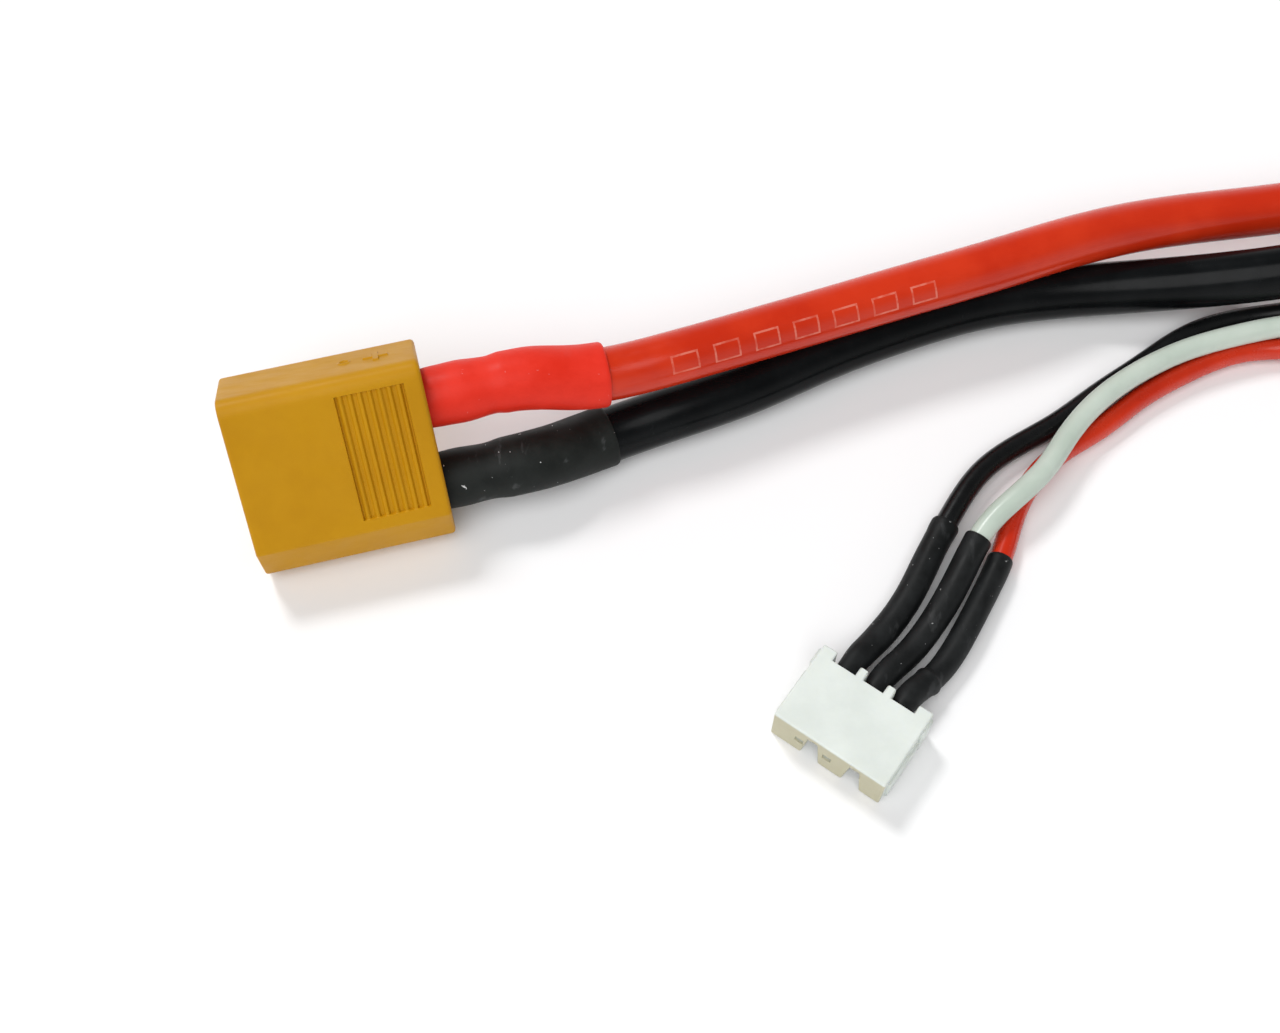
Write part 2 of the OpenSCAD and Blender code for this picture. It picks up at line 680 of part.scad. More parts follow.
module plug_housing() {
    color("#e8ede9") at_plug() difference() {
        union() {
            translate([-plug_w / 2, -plug_l, 0]) cube([plug_w, plug_l, plug_t]);
            // a short guide rib at the wire end and a long, low one in front of it
            guide_rib(-1.7, 1.5, plug_t - 0.7);
            guide_rib(-plug_l + 0.8, plug_l - 2.9, plug_t - 1.4);
        }
        for (circuit = [-1 : 1]) translate([circuit * plug_pitch, 0, 0]) {
            // chamber that the terminal is pushed into
            translate([-chamber_w / 2, -plug_l + mouth_wall, plug_top])
                cube([chamber_w, plug_l - wire_run - mouth_wall + over, chamber_h]);
            // round way for the wire's insulation
            translate([0, over, wire_z]) rotate([90, 0, 0])
                cylinder(h = wire_run + 2 * over, d = wire_d + 2 * wire_gap);
            // mouth for the header's pin
            translate([-pin_mouth / 2, -plug_l - over, wire_z - pin_mouth / 2])
                cube([pin_mouth, mouth_wall + 2 * over, pin_mouth]);
            // window that the terminal's barb catches in
            translate([-0.6, -4.6, -over]) cube([1.2, 1.7, plug_top + 2 * over]);
        }
        // gaps between the teeth and the corner posts at the wire end
        difference() {
            translate([post_w - plug_w / 2, -tooth_gap_depth, -over])
                cube([plug_w - 2 * post_w, tooth_gap_depth + over, plug_t + 2 * over]);
            for (s = [-1, 1])
                translate([(s * plug_pitch - tooth_w) / 2, -tooth_gap_depth - over, -2 * over])
                    cube([tooth_w, tooth_gap_depth + 3 * over, plug_t + 4 * over]);
        }
        // keying slots, open to the mating end and wider at the underside
        for (middle = [-key_black, key_red])
            translate([middle, key_slot_depth - plug_l, 0]) rotate([90, 0, 0])
                linear_extrude(key_slot_depth + over) polygon([
                    [-key_slot_w / 2, plug_t - plug_top], [-key_slot_foot / 2, 0],
                    [-key_slot_foot / 2, -over], [key_slot_foot / 2, -over],
                    [key_slot_foot / 2, 0], [key_slot_w / 2, plug_t - plug_top]
                ]);
    }
}

wire_run = 2.4;

module crimp_terminal(circuit) {
    box_l = plug_l - wire_run - mouth_wall - 0.4;
    box_y = -plug_l + mouth_wall;
    box_h = chamber_h - 2 * terminal_gap;
    color("#d6cfae") at_plug() translate([circuit * plug_pitch, 0, 0]) {
        difference() {
            union() {
                translate([-terminal_w / 2, box_y, wire_z - box_h / 2])
                    cube([terminal_w, box_l, box_h]);
                // crimp barrel round the bared strands
                translate([0, wire_start, wire_z]) rotate([90, 0, 0])
                    cylinder(h = crimp_l, d = wire_core_d + 2 * terminal_t);
            }
            translate([-terminal_w / 2 + terminal_t, box_y - over, wire_z - box_h / 2 + terminal_t])
                cube([terminal_w - 2 * terminal_t, box_l - 0.6 + over, box_h - 2 * terminal_t]);
            translate([0, wire_start + over, wire_z]) rotate([90, 0, 0])
                cylinder(h = crimp_l + over, d = wire_core_d);
        }
    }
}
module crimp_terminal_black() { crimp_terminal(-1); }
module crimp_terminal_white() { crimp_terminal(0); }
module crimp_terminal_red() { crimp_terminal(1); }

shrink_wrap();
label();
front_pad();
rear_pad();
cell_pouch_lower();
cell_pouch_upper();
electrode_stack_lower();
electrode_stack_upper();
cell_tape();
band_front();
band_rear();
tab_guard();
tab_lower_negative();
tab_lower_positive();
tab_upper_positive();
tab_upper_negative();
tab_board();
tab_solder();
lead_solder();
lead_positive();
lead_negative();
strands_positive();
strands_negative();
sleeve_positive();
sleeve_negative();
connector_housing();
contact_positive();
contact_negative();
balance_wire_black();
balance_wire_white();
balance_wire_red();
balance_sleeve_black();
balance_sleeve_white();
balance_sleeve_red();
balance_strands();
plug_housing();
crimp_terminal_black();
crimp_terminal_white();
crimp_terminal_red();
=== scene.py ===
"""A two-cell lithium polymer battery pack: its power lead, its balance lead and its wrapped cells.

All lengths are in metres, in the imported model's own frame: the pack's underside lies on z = 0,
+X runs from its lead end to its plain end, and the leads lie in front of the lead end.
"""
import math

import bmesh
import bpy
import numpy as np
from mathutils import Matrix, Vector


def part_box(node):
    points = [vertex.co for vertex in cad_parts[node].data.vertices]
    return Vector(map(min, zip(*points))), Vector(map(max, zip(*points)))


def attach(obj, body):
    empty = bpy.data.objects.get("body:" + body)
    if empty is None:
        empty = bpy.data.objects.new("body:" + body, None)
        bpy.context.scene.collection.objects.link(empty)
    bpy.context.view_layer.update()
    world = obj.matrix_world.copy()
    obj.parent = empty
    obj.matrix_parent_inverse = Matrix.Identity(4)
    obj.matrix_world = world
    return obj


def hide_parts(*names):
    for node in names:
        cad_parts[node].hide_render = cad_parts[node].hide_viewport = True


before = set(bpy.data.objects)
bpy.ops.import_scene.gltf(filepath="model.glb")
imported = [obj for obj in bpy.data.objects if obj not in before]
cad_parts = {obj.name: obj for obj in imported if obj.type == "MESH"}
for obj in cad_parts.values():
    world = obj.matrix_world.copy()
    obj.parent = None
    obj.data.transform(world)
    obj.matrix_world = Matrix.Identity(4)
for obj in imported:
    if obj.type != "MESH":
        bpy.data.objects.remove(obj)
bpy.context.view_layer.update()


# --- Camera ---------------------------------------------------------------------------------
# It looks down at the loose ends of the leads from the front, so that the pack itself
# lies just beyond the right edge of the picture.
lead_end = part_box("shrink_wrap")[0][0]
aim = Vector((lead_end - 0.072, -0.020, 0.0))
camera_tilt = math.radians(27.5)
camera_distance = 0.133
camera_data = bpy.data.cameras.new("camera")
camera_data.sensor_width = 36.0
camera_data.lens = 44.5
camera_data.clip_start, camera_data.clip_end = 0.005, 10.0
camera = bpy.data.objects.new("camera", camera_data)
camera.location = aim + camera_distance * Vector((0, -math.sin(camera_tilt), math.cos(camera_tilt)))
camera.rotation_euler = (camera_tilt, 0, 0)
bpy.context.scene.collection.objects.link(camera)
bpy.context.scene.camera = camera


# --- Main leads -----------------------------------------------------------------------------
# Two thick, very supple leads: fine copper strands in soft, glossy silicone. Each is soldered
# into its contact's cup at one end and onto the board inside the pack at the other. The red
# one rests on the black one where they cross.
connector_roll = math.radians(50)
connector_yaw = math.radians(14.2)
housing_width, housing_thickness, housing_length = 0.0157, 0.008, 0.0158
housing_chamfer = 0.0028
contact_pitch = 0.0072
connector_height = (housing_width / 2 * math.sin(connector_roll)
                    + (housing_thickness / 2 - housing_chamfer) * math.cos(connector_roll))
connector_place = np.array([lead_end - 0.0886, -0.0165, connector_height])
connector_axes = np.array([
    [math.cos(connector_yaw), math.sin(connector_yaw), 0],
    [-math.sin(connector_yaw) * math.cos(connector_roll),
     math.cos(connector_yaw) * math.cos(connector_roll), math.sin(connector_roll)],
    [math.sin(connector_yaw) * math.sin(connector_roll),
     -math.cos(connector_yaw) * math.sin(connector_roll), math.cos(connector_roll)]])
cup_length, bare_strands = 0.0046, 0.0012
positive_diameter, negative_diameter = 0.0045, 0.0047
straight_reach, lead_strip = 0.0012, 0.0036
lead_step, lead_sides = 0.0005, 40
positive_route = [
    (-0.077, -0.0114, 0.0082), (-0.070, -0.0095, 0.0078), (-0.063, -0.0069, 0.0074),
    (-0.056, -0.0043, 0.0071), (-0.049, -0.0018, 0.0070), (-0.042, 0.0006, 0.0070),
    (-0.035, 0.0033, 0.0067), (-0.028, 0.0058, 0.0059), (-0.021, 0.0074, 0.0053),
    (-0.014, 0.0085, 0.0052), (-0.007, 0.0092, 0.0064), (0, 0.0095, 0.008)]
negative_route = [
    (-0.077, -0.0146, 0.0026), (-0.070, -0.0116, 0.0024), (-0.063, -0.0088, 0.0024),
    (-0.056, -0.0053, 0.0024), (-0.049, -0.0023, 0.0024), (-0.042, 0, 0.0024),
    (-0.035, 0.0012, 0.0024), (-0.028, 0.0015, 0.0029), (-0.021, 0.0014, 0.0041),
    (-0.014, 0.0015, 0.0056), (-0.007, 0.0023, 0.0070), (0, 0.003, 0.008)]


def at_connector(local):
    """Turns points in the connector's own frame (back, positive side, wide face) into the row frame:
    its place plus each coordinate times the matching axis."""
    return connector_place + np.asarray(local) @ connector_axes


def smooth_line(points, spacing):
    """A cubic spline through the points, sampled about every `spacing`. Its second derivatives solve
    the usual three-term equations along the chord length, with free ends."""
    p = np.asarray(points, float)
    chord = np.linalg.norm(np.diff(p, axis=0), axis=1)
    t = np.concatenate([[0], np.cumsum(chord)])
    n = len(p)
    terms = np.eye(n)
    inner = np.arange(1, n - 1)
    terms[inner, inner - 1] = chord[:-1]
    terms[inner, inner] = 2 * (chord[:-1] + chord[1:])
    terms[inner, inner + 1] = chord[1:]
    slopes = np.diff(p, axis=0) / chord[:, None]
    right = np.zeros_like(p)
    right[1:-1] = 6 * np.diff(slopes, axis=0)
    second = np.linalg.solve(terms, right)
    s = np.linspace(0, t[-1], int(t[-1] / spacing) + 2)
    k = np.clip(np.searchsorted(t, s, side="right") - 1, 0, n - 2)
    h, a, b = chord[k][:, None], (t[k + 1] - s)[:, None], (s - t[k])[:, None]
    return (second[k] * a ** 3 / (6 * h) + second[k + 1] * b ** 3 / (6 * h)
            + (p[k] / h - second[k] * h / 6) * a + (p[k + 1] / h - second[k + 1] * h / 6) * b)


def distances(line):
    """Distance from the line's start to each of its points."""
    return np.concatenate([[0], np.cumsum(np.linalg.norm(np.diff(line, axis=0), axis=1))])


def around_line(line, radius, sides):
    """Rings round a line: point = line + radius * (cos(angle) * side + sin(angle) * up), where side is
    level and square to the line, and up is square to both. radius is (rows, sides) or one number."""
    along = np.gradient(line, axis=0)
    along /= np.linalg.norm(along, axis=1)[:, None]
    side = np.cross([0, 0, 1], along)
    side /= np.linalg.norm(side, axis=1)[:, None]
    up = np.cross(along, side)
    angle = np.linspace(0, 2 * np.pi, sides, endpoint=False)
    ring = np.cos(angle)[None, :, None] * side[:, None] + np.sin(angle)[None, :, None] * up[:, None]
    radius = np.broadcast_to(radius, (len(line), sides))
    return line[:, None] + radius[..., None] * ring


def grid_piece(name, grid, uv_rows=None, close_rows=False, sharp=None):
    """A mesh from a grid of points whose columns close into rings. Rows that shrink to one point close
    as poles, and close_rows joins the last row to the first. uv_rows gives each row's V; U runs round
    the ring from 0 to 1. sharp is the angle in degrees above which an edge stays sharp."""
    rows, columns = grid.shape[:2]
    last = rows if close_rows else rows - 1
    r, c = np.meshgrid(np.arange(last), np.arange(columns), indexing="ij")
    r2, c2 = (r + 1) % rows, (c + 1) % columns
    quads = np.stack([r * columns + c, r * columns + c2, r2 * columns + c2, r2 * columns + c], -1)
    mesh = bpy.data.meshes.new(name)
    mesh.vertices.add(rows * columns)
    mesh.vertices.foreach_set("co", grid.astype(np.float32).ravel())
    mesh.loops.add(quads.size)
    mesh.loops.foreach_set("vertex_index", quads.astype(np.int32).ravel())
    mesh.polygons.add(quads.size // 4)
    mesh.polygons.foreach_set("loop_start", np.arange(0, quads.size, 4, dtype=np.int32))
    mesh.polygons.foreach_set("use_smooth", np.ones(quads.size // 4, bool))
    if uv_rows is not None:
        v = np.asarray(uv_rows, float)
        u = np.stack([c, c + 1, c + 1, c], -1) / columns
        uv = np.stack([u, np.stack([v[r], v[r], v[r2], v[r2]], -1)], -1)
        layer = mesh.uv_layers.new(name="along")
        layer.data.foreach_set("uv", uv.astype(np.float32).ravel())
    mesh.update(calc_edges=True)
    return finished(name, mesh, sharp)


def finished(name, mesh, sharp=None):
    """Merges doubled points, points the faces outwards and links the mesh as an object."""
    work = bmesh.new()
    work.from_mesh(mesh)
    bmesh.ops.remove_doubles(work, verts=work.verts, dist=1e-7)
    bmesh.ops.recalc_face_normals(work, faces=work.faces)
    work.to_mesh(mesh)
    work.free()
    if sharp is not None:
        mesh.set_sharp_from_angle(angle=math.radians(sharp))
    piece = bpy.data.objects.new(name, mesh)
    bpy.context.scene.collection.objects.link(piece)
    return piece


class Finish:
    """A node material under construction: shader is its Principled node, and each method adds one
    node and returns its output socket."""

    def __init__(self, name):
        self.material = bpy.data.materials.new(name)
        self.material.use_nodes = True
        self.tree = self.material.node_tree
        self.shader = self.tree.nodes["Principled BSDF"]
        coordinates = self.node("TexCoord")
        self.place = coordinates.outputs["Object"]
        self.uv = coordinates.outputs["UV"]

    def set(self, **values):
        """Sets constants on the shader's own sockets; underscores stand for spaces."""
        for key, value in values.items():
            self.shader.inputs[key.replace("_", " ")].default_value = value

    def node(self, kind):
        return self.tree.nodes.new("ShaderNode" + kind)

    def feed(self, socket, value):
        """Links an output to the socket, or sets the socket to a constant."""
        if isinstance(value, bpy.types.NodeSocket):
            self.tree.links.new(value, socket)
        else:
            socket.default_value = value

    def noise(self, scale, detail=3.0, rough=0.55, stretch=None):
        """Cloudy noise on the object's own coordinates, stretched along the axes when asked."""
        node = self.node("TexNoise")
        node.inputs["Scale"].default_value = scale
        node.inputs["Detail"].default_value = detail
        node.inputs["Roughness"].default_value = rough
        where = self.mapped(scale=stretch) if stretch else self.place
        self.tree.links.new(where, node.inputs["Vector"])
        return node.outputs["Fac"]

    def mapped(self, scale=(1, 1, 1), move=(0, 0, 0)):
        """The object's own coordinates, scaled and then moved."""
        node = self.node("Mapping")
        node.inputs["Scale"].default_value = scale
        node.inputs["Location"].default_value = move
        self.tree.links.new(self.place, node.inputs["Vector"])
        return node.outputs["Vector"]

    def math(self, operation, a, b=0.0):
        node = self.node("Math")
        node.operation = operation
        self.feed(node.inputs[0], a)
        self.feed(node.inputs[1], b)
        return node.outputs[0]

    def times(self, a, b):
        return self.math("MULTIPLY", a, b)

    def inside(self, value, low, high):
        """1 where value lies between low and high."""
        return self.times(self.math("GREATER_THAN", value, low), self.math("LESS_THAN", value, high))

    def fit(self, value, low, high, to_low=0.0, to_high=1.0):
        """Maps low..high to to_low..to_high, clamped, with smooth ends."""
        node = self.node("MapRange")
        node.interpolation_type = "SMOOTHSTEP"
        self.feed(node.inputs["Value"], value)
        for key, number in (("From Min", low), ("From Max", high), ("To Min", to_low), ("To Max", to_high)):
            node.inputs[key].default_value = number
        return node.outputs["Result"]

    def mix(self, factor, a, b):
        """A mix of two colours."""
        node = self.node("Mix")
        node.data_type = "RGBA"
        self.feed(node.inputs[0], factor)
        self.feed(node.inputs[6], a if isinstance(a, bpy.types.NodeSocket) else (*a, 1.0))
        self.feed(node.inputs[7], b if isinstance(b, bpy.types.NodeSocket) else (*b, 1.0))
        return node.outputs[2]

    def parts(self, vector):
        """The vector's X, Y and Z outputs."""
        node = self.node("SeparateXYZ")
        self.tree.links.new(vector, node.inputs[0])
        return node.outputs

    def color(self, value):
        self.feed(self.shader.inputs["Base Color"], value)

    def rough(self, value):
        self.feed(self.shader.inputs["Roughness"], value)

    def bump(self, height, depth):
        """Adds a bump of that depth in metres on top of any earlier one."""
        node = self.node("Bump")
        node.inputs["Strength"].default_value = 1.0
        node.inputs["Distance"].default_value = depth
        self.tree.links.new(height, node.inputs["Height"])
        normal = self.shader.inputs["Normal"]
        if normal.links:
            self.tree.links.new(normal.links[0].from_socket, node.inputs["Normal"])
        self.tree.links.new(node.outputs["Normal"], normal)

    def on(self, piece):
        """Makes this the piece's only material."""
        piece.data.materials.clear()
        piece.data.materials.append(self.material)
        return self


def silicone(name, deep, pale, gloss, shine):
    """Soft extruded silicone: a faintly cloudy colour, a skin that undulates a little where the
    strands press on it, and dust that dulls it in places."""
    skin = Finish(name)
    skin.set(Coat_Weight=0.25 * shine, Coat_Roughness=0.15, Specular_IOR_Level=shine)
    cloud = skin.noise(160, 4)
    skin.color(skin.mix(skin.fit(cloud, 0.35, 0.68), deep, pale))
    dust = skin.noise(900, 5, 0.7)
    skin.rough(skin.fit(dust, 0.35, 0.75, gloss, gloss + 0.10))
    skin.bump(skin.noise(110, 2), 0.00005)
    skin.bump(skin.noise(3000, 3), 0.0000025)
    return skin


def lead_line(sign, route):
    """Centreline of a main lead, from inside the pack to its bared end in the solder cup."""
    cup_end = cup_length + bare_strands
    out = [at_connector([cup_end + further, sign * contact_pitch / 2, 0])
           for further in (0, straight_reach)]
    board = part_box("tab_board")[0][0]
    points = out + [np.array(p) + [lead_end, 0, 0] for p in route]
    points.append(np.array([board - lead_strip, *points[-1][1:]]))
    return smooth_line(points, lead_step)[::-1]


def lead_piece(name, line, diameter, sides):
    """A solid round lead along the line, closed with a flat end at each end."""
    rings = around_line(line, diameter / 2, sides)
    start = np.broadcast_to(line[0], rings[0].shape)
    end = np.broadcast_to(line[-1], rings[0].shape)
    s = distances(line)
    return grid_piece(name, np.concatenate([start[None], rings, end[None]]), [s[0], *s, s[-1]], sharp=50)


positive_line = lead_line(1, positive_route)
negative_line = lead_line(-1, negative_route)
positive_lead = lead_piece("positive_lead", positive_line, positive_diameter, lead_sides)
negative_lead = lead_piece("negative_lead", negative_line, negative_diameter, lead_sides)

# The red lead carries a faint print: a row of thin outlined dashes. Their height and place round
# the lead are parts of a turn.
red_silicone = silicone("red_silicone", (0.53, 0.024, 0.005), (0.60, 0.034, 0.008), gloss=0.17, shine=0.28)
around, along = red_silicone.parts(red_silicone.uv)[:2]
dash_pitch, dash_length, dash_line = 0.0036, 0.0023, 0.00017
dash_turn, dash_height, dash_line_turn = 0.118, 0.115, 0.012
first_dash, last_dash = 0.0540, 0.0792
dash_x = red_silicone.math("ABSOLUTE", red_silicone.math(
    "SUBTRACT", red_silicone.math("MODULO", along, dash_pitch), dash_pitch / 2))
dash_y = red_silicone.math("ABSOLUTE", red_silicone.math("SUBTRACT", around, dash_turn))
outer = red_silicone.times(red_silicone.math("LESS_THAN", dash_x, dash_length / 2),
                           red_silicone.math("LESS_THAN", dash_y, dash_height / 2))
inner = red_silicone.times(red_silicone.math("LESS_THAN", dash_x, dash_length / 2 - dash_line),
                           red_silicone.math("LESS_THAN", dash_y, dash_height / 2 - dash_line_turn))
worn = red_silicone.fit(red_silicone.noise(1100, 3), 0.36, 0.60, 0.35, 1.0)
printed = red_silicone.inside(along, first_dash, last_dash)
ink = red_silicone.times(red_silicone.math("SUBTRACT", outer, inner), red_silicone.times(worn, printed))
plain = red_silicone.shader.inputs["Base Color"].links[0].from_socket
red_silicone.color(red_silicone.mix(red_silicone.times(ink, 0.5), plain, (0.80, 0.30, 0.22)))
red_silicone.on(positive_lead)
black_silicone = silicone("black_silicone", (0.0030, 0.0036, 0.0040), (0.0062, 0.0072, 0.0078),
                          gloss=0.19, shine=0.10)
black_silicone.on(negative_lead)

for lead, node, slot_name in ((positive_lead, "lead_positive", "red_silicone"),
                              (negative_lead, "lead_negative", "black_silicone")):
    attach(lead, "root")
    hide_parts(node)


# --- Main leads' shrunk sleeves ---------------------------------------------------------------
# Short lengths of polyolefin tube, shrunk with hot air over the solder cup and the end of the
# lead. They swell over the cup, draw in where the bare strands are, and end in a clean cut.
def along_profile(s, stops):
    """Smooth interpolation of (distance, value) stops: each span follows 3f^2 - 2f^3."""
    x, y = np.array(stops).T
    k = np.clip(np.searchsorted(x, s, side="right") - 1, 0, len(x) - 2)
    f = np.clip((s - x[k]) / (x[k + 1] - x[k]), 0, 1)
    return y[k] + (y[k + 1] - y[k]) * (3 * f * f - 2 * f ** 3)


def sleeve_piece(name, line, length, stops, bore, wall, sides, lumps, phase):
    """A shrunk tube along the start of the line: outer radius from the stops plus low lumps that are
    a product of sines round and along it, a rounded lip at both ends, and the bore inside."""
    s = distances(line)
    line = line[s <= length]
    s = s[s <= length]
    angle = np.linspace(0, 2 * np.pi, sides, endpoint=False)
    radius = along_profile(s, stops)[:, None] * np.ones(sides)
    swell = (np.sin(2 * angle + phase)[None] * np.sin(s / 0.0021 + phase)[:, None]
             + 0.6 * np.sin(3 * angle - 2 * phase)[None] * np.sin(s / 0.0013 + 2 * phase)[:, None])
    radius = radius + lumps * swell
    lip = wall * np.array([0.35, 0.08])
    radius[:2] -= lip[:, None]
    radius[-2:] -= lip[::-1, None]
    outer = around_line(line, radius, sides)
    inside = around_line(line, np.full((len(line), sides), bore), sides)[::-4]
    rows = np.concatenate([outer, inside])
    v = np.concatenate([s, s[::-4]])
    return grid_piece(name, rows, v, close_rows=True, sharp=60)


def shrink_tube(name, deep, pale, gloss, flecks):
    """Shrunk polyolefin: a dull, slightly orange-peel skin with scuffs, and pale flecks of dust."""
    tube_skin = Finish(name)
    tube_skin.set(Specular_IOR_Level=0.17)
    cloud = tube_skin.noise(420, 5, 0.65)
    base = tube_skin.mix(tube_skin.fit(cloud, 0.35, 0.7), deep, pale)
    scuff = tube_skin.fit(tube_skin.noise(700, 4, 0.6, stretch=(1, 0.35, 1)), 0.60, 0.72)
    speck = tube_skin.fit(tube_skin.noise(2600, 2, 0.5), 0.735, 0.76)
    base = tube_skin.mix(tube_skin.times(scuff, 0.10 * flecks), base, (0.35, 0.36, 0.37))
    tube_skin.color(tube_skin.mix(tube_skin.times(speck, 0.8 * flecks), base, (0.75, 0.76, 0.76)))
    tube_skin.rough(tube_skin.fit(cloud, 0.3, 0.75, gloss, gloss + 0.18))
    tube_skin.bump(tube_skin.noise(1500, 3), 0.000016)
    tube_skin.bump(tube_skin.noise(320, 2), 0.00007)
    return tube_skin


def cup_line(sign, line):
    """The line that a sleeve follows: straight back from the housing, then along its lead."""
    straight = at_connector([[back, sign * contact_pitch / 2, 0] for back in (-0.00042, 0.0018, 0.0040)])
    return smooth_line(np.concatenate([straight, line[::-1][:60:6]]), sleeve_step)


sleeve_length, sleeve_step, sleeve_sides = 0.0153, 0.00015, 72
red_sleeve = sleeve_piece(
    "red_sleeve", cup_line(1, positive_line), sleeve_length,
    [(0, 0.00240), (0.0014, 0.00246), (0.0032, 0.00252), (0.0056, 0.00236), (0.0068, 0.00252),
     (0.0095, 0.00262), (sleeve_length, 0.00270)],
    bore=0.00221, wall=0.00030, sides=sleeve_sides, lumps=0.000020, phase=0.7)
black_sleeve = sleeve_piece(
    "black_sleeve", cup_line(-1, negative_line), sleeve_length,
    [(0, 0.00238), (0.0016, 0.00244), (0.0040, 0.00234), (0.0058, 0.00252), (0.0090, 0.00256),
     (0.0135, 0.00262), (sleeve_length, 0.00264)],
    bore=0.00232, wall=0.00025, sides=sleeve_sides, lumps=0.000038, phase=2.1)
shrink_tube("red_shrink", (0.71, 0.026, 0.011), (0.76, 0.032, 0.015),
            gloss=0.38, flecks=0.15).on(red_sleeve)
shrink_tube("black_shrink", (0.0075, 0.0092, 0.0082), (0.0150, 0.0175, 0.0160),
            gloss=0.46, flecks=1.0).on(black_sleeve)
for sleeve, node, slot_name in ((red_sleeve, "sleeve_positive", "red_shrink"),
                                (black_sleeve, "sleeve_negative", "black_shrink")):
    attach(sleeve, "root")
    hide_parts(node)


# --- Power connector housing ------------------------------------------------------------------
# One injection moulding in glass-filled amber nylon: a shroud that is open at the mating end,
# two square corners with rounded edges on the positive side and two chamfers on the negative
# side, a sunken ribbed panel for the fingers on each wide face, and a raised plus sign.
side_radius, chamfer_radius = 0.0012, 0.00035
shroud_wall, cavity_depth = 0.00115, 0.0086
corner_steps = 7


def shroud_outline(inset, fractions):
    """Points round the housing's section, drawn in by `inset`: six corners rounded by arcs, and on
    each straight side the given fractions of its length. Y runs to the positive side and Z out of
    the wide face."""
    w, t = housing_width / 2 - inset, housing_thickness / 2 - inset
    c = housing_chamfer - inset * (2 - math.sqrt(2))
    large, small = max(side_radius - inset, 0.0002), max(chamfer_radius - inset / 3, 0.00015)
    corners = [(w, -t, large), (w, t, large), (c - w, t, small), (-w, t - c, small),
               (-w, c - t, small), (c - w, -t, small)]
    points = np.array([corner[:2] for corner in corners])
    ring = []
    for k, corner in enumerate(corners):
        before = points[k] - points[k - 1]
        after = points[(k + 1) % 6] - points[k]
        a, b = before / np.linalg.norm(before), after / np.linalg.norm(after)
        half = math.acos(np.clip(a @ b, -1, 1)) / 2
        reach = corner[2] * math.tan(half)
        centre = points[k] - a * reach + np.array([-a[1], a[0]]) * corner[2]
        start = math.atan2(-a[0], a[1])
        sweep = start + np.linspace(0, 2 * half, corner_steps)
        ring.append(centre + corner[2] * np.stack([np.cos(sweep), np.sin(sweep)], -1))
    pieces = []
    for k in range(6):
        pieces.append(ring[k])
        f = fractions[k][:, None]
        pieces.append(ring[k][-1] * (1 - f) + ring[(k + 1) % 6][0] * f)
    return np.concatenate(pieces)


def box_mask(x, low, high, soft):
    """1 between low and high and 0 outside, with straight ramps `soft` wide."""
    return np.clip((x - low) / soft + 0.5, 0, 1) * np.clip((high - x) / soft + 0.5, 0, 1)


panel_back, panel_front = -0.0015, -0.0069
panel_low, panel_high = -0.0040, 0.0064
panel_depth, rib_count, rib_drop, edge = 0.00030, 7, 0.00007, 0.00007
rib_pitch = (panel_back - panel_front) / rib_count
rib_middles = panel_front + (np.arange(rib_count) + 0.5) * rib_pitch
sign_middle, sign_reach, sign_half, sign_rise = -0.0032, 0.00100, 0.00024, 0.00013
gate_middle, gate_radius = -0.0057, 0.00042


def housing_relief(x, y, z, side):
    """Height of the relief at (x, y, z): sunk panels with ribs on the wide faces, a plus sign and a
    gate mark on the positive side, and a minus sign on the narrow side. side holds each point's face."""
    ribs = np.clip(0.35 + 0.95 * np.cos(2 * np.pi * (x - rib_middles[0]) / rib_pitch), 0, 1)
    panel = box_mask(x, panel_front, panel_back, edge) * box_mask(y, panel_low, panel_high, edge)
    wide = panel * (-panel_depth + ribs * (panel_depth - rib_drop))
    bar = box_mask(x, sign_middle - sign_reach, sign_middle + sign_reach, edge) \
        * box_mask(z, -sign_half, sign_half, edge)
    post = box_mask(x, sign_middle - sign_half, sign_middle + sign_half, edge) \
        * box_mask(z, -sign_reach, sign_reach, edge)
    away = np.hypot(x - gate_middle, z)
    gate = 0.00010 * np.exp(-((away - gate_radius) / 0.00010) ** 2) - 0.00005 * (away < gate_radius * 0.8)
    return np.where(side == 0, wide, np.where(side == 1, sign_rise * np.maximum(bar, post) + gate,
                                              np.where(side == 2, sign_rise * bar, 0.0)))


def edges_of(*places):
    """Grid lines just before and just after each place, where the relief steps."""
    return [p + d for p in places for d in (-edge * 0.6, edge * 0.6)]


def fractions_on(start, end, places, count):
    """Fractions of the way from start to end: count even ones, and one for each place between them."""
    even = np.linspace(0, 1, count + 2)[1:-1]
    at = (np.array(places) - start) / (end - start) if len(places) else np.array([])
    return np.unique(np.round(np.concatenate([even, at[(at > 0.01) & (at < 0.99)]]), 5))


blunt = chamfer_radius * math.tan(math.pi / 8)
face_low, face_high = housing_chamfer - housing_width / 2 + blunt, housing_width / 2 - side_radius
side_half = housing_thickness / 2 - side_radius
sign_lines = edges_of(-sign_reach, -sign_half, sign_half, sign_reach) + [-gate_radius, 0, gate_radius]
panel_lines = edges_of(panel_low, panel_high)
narrow = housing_thickness / 2 - housing_chamfer - blunt
fractions = [
    fractions_on(-side_half, side_half, sign_lines, 26),
    fractions_on(face_high, face_low, panel_lines, 22),
    np.linspace(0, 1, 8)[1:-1],
    fractions_on(narrow, -narrow, edges_of(-sign_half, sign_half), 8),
    np.linspace(0, 1, 8)[1:-1],
    fractions_on(face_low, face_high, panel_lines, 22)]
side_of = np.concatenate([
    np.concatenate([np.full(corner_steps, 3), np.full(len(f), face)])
    for f, face in zip(fractions, (1, 0, 3, 2, 3, 0))])

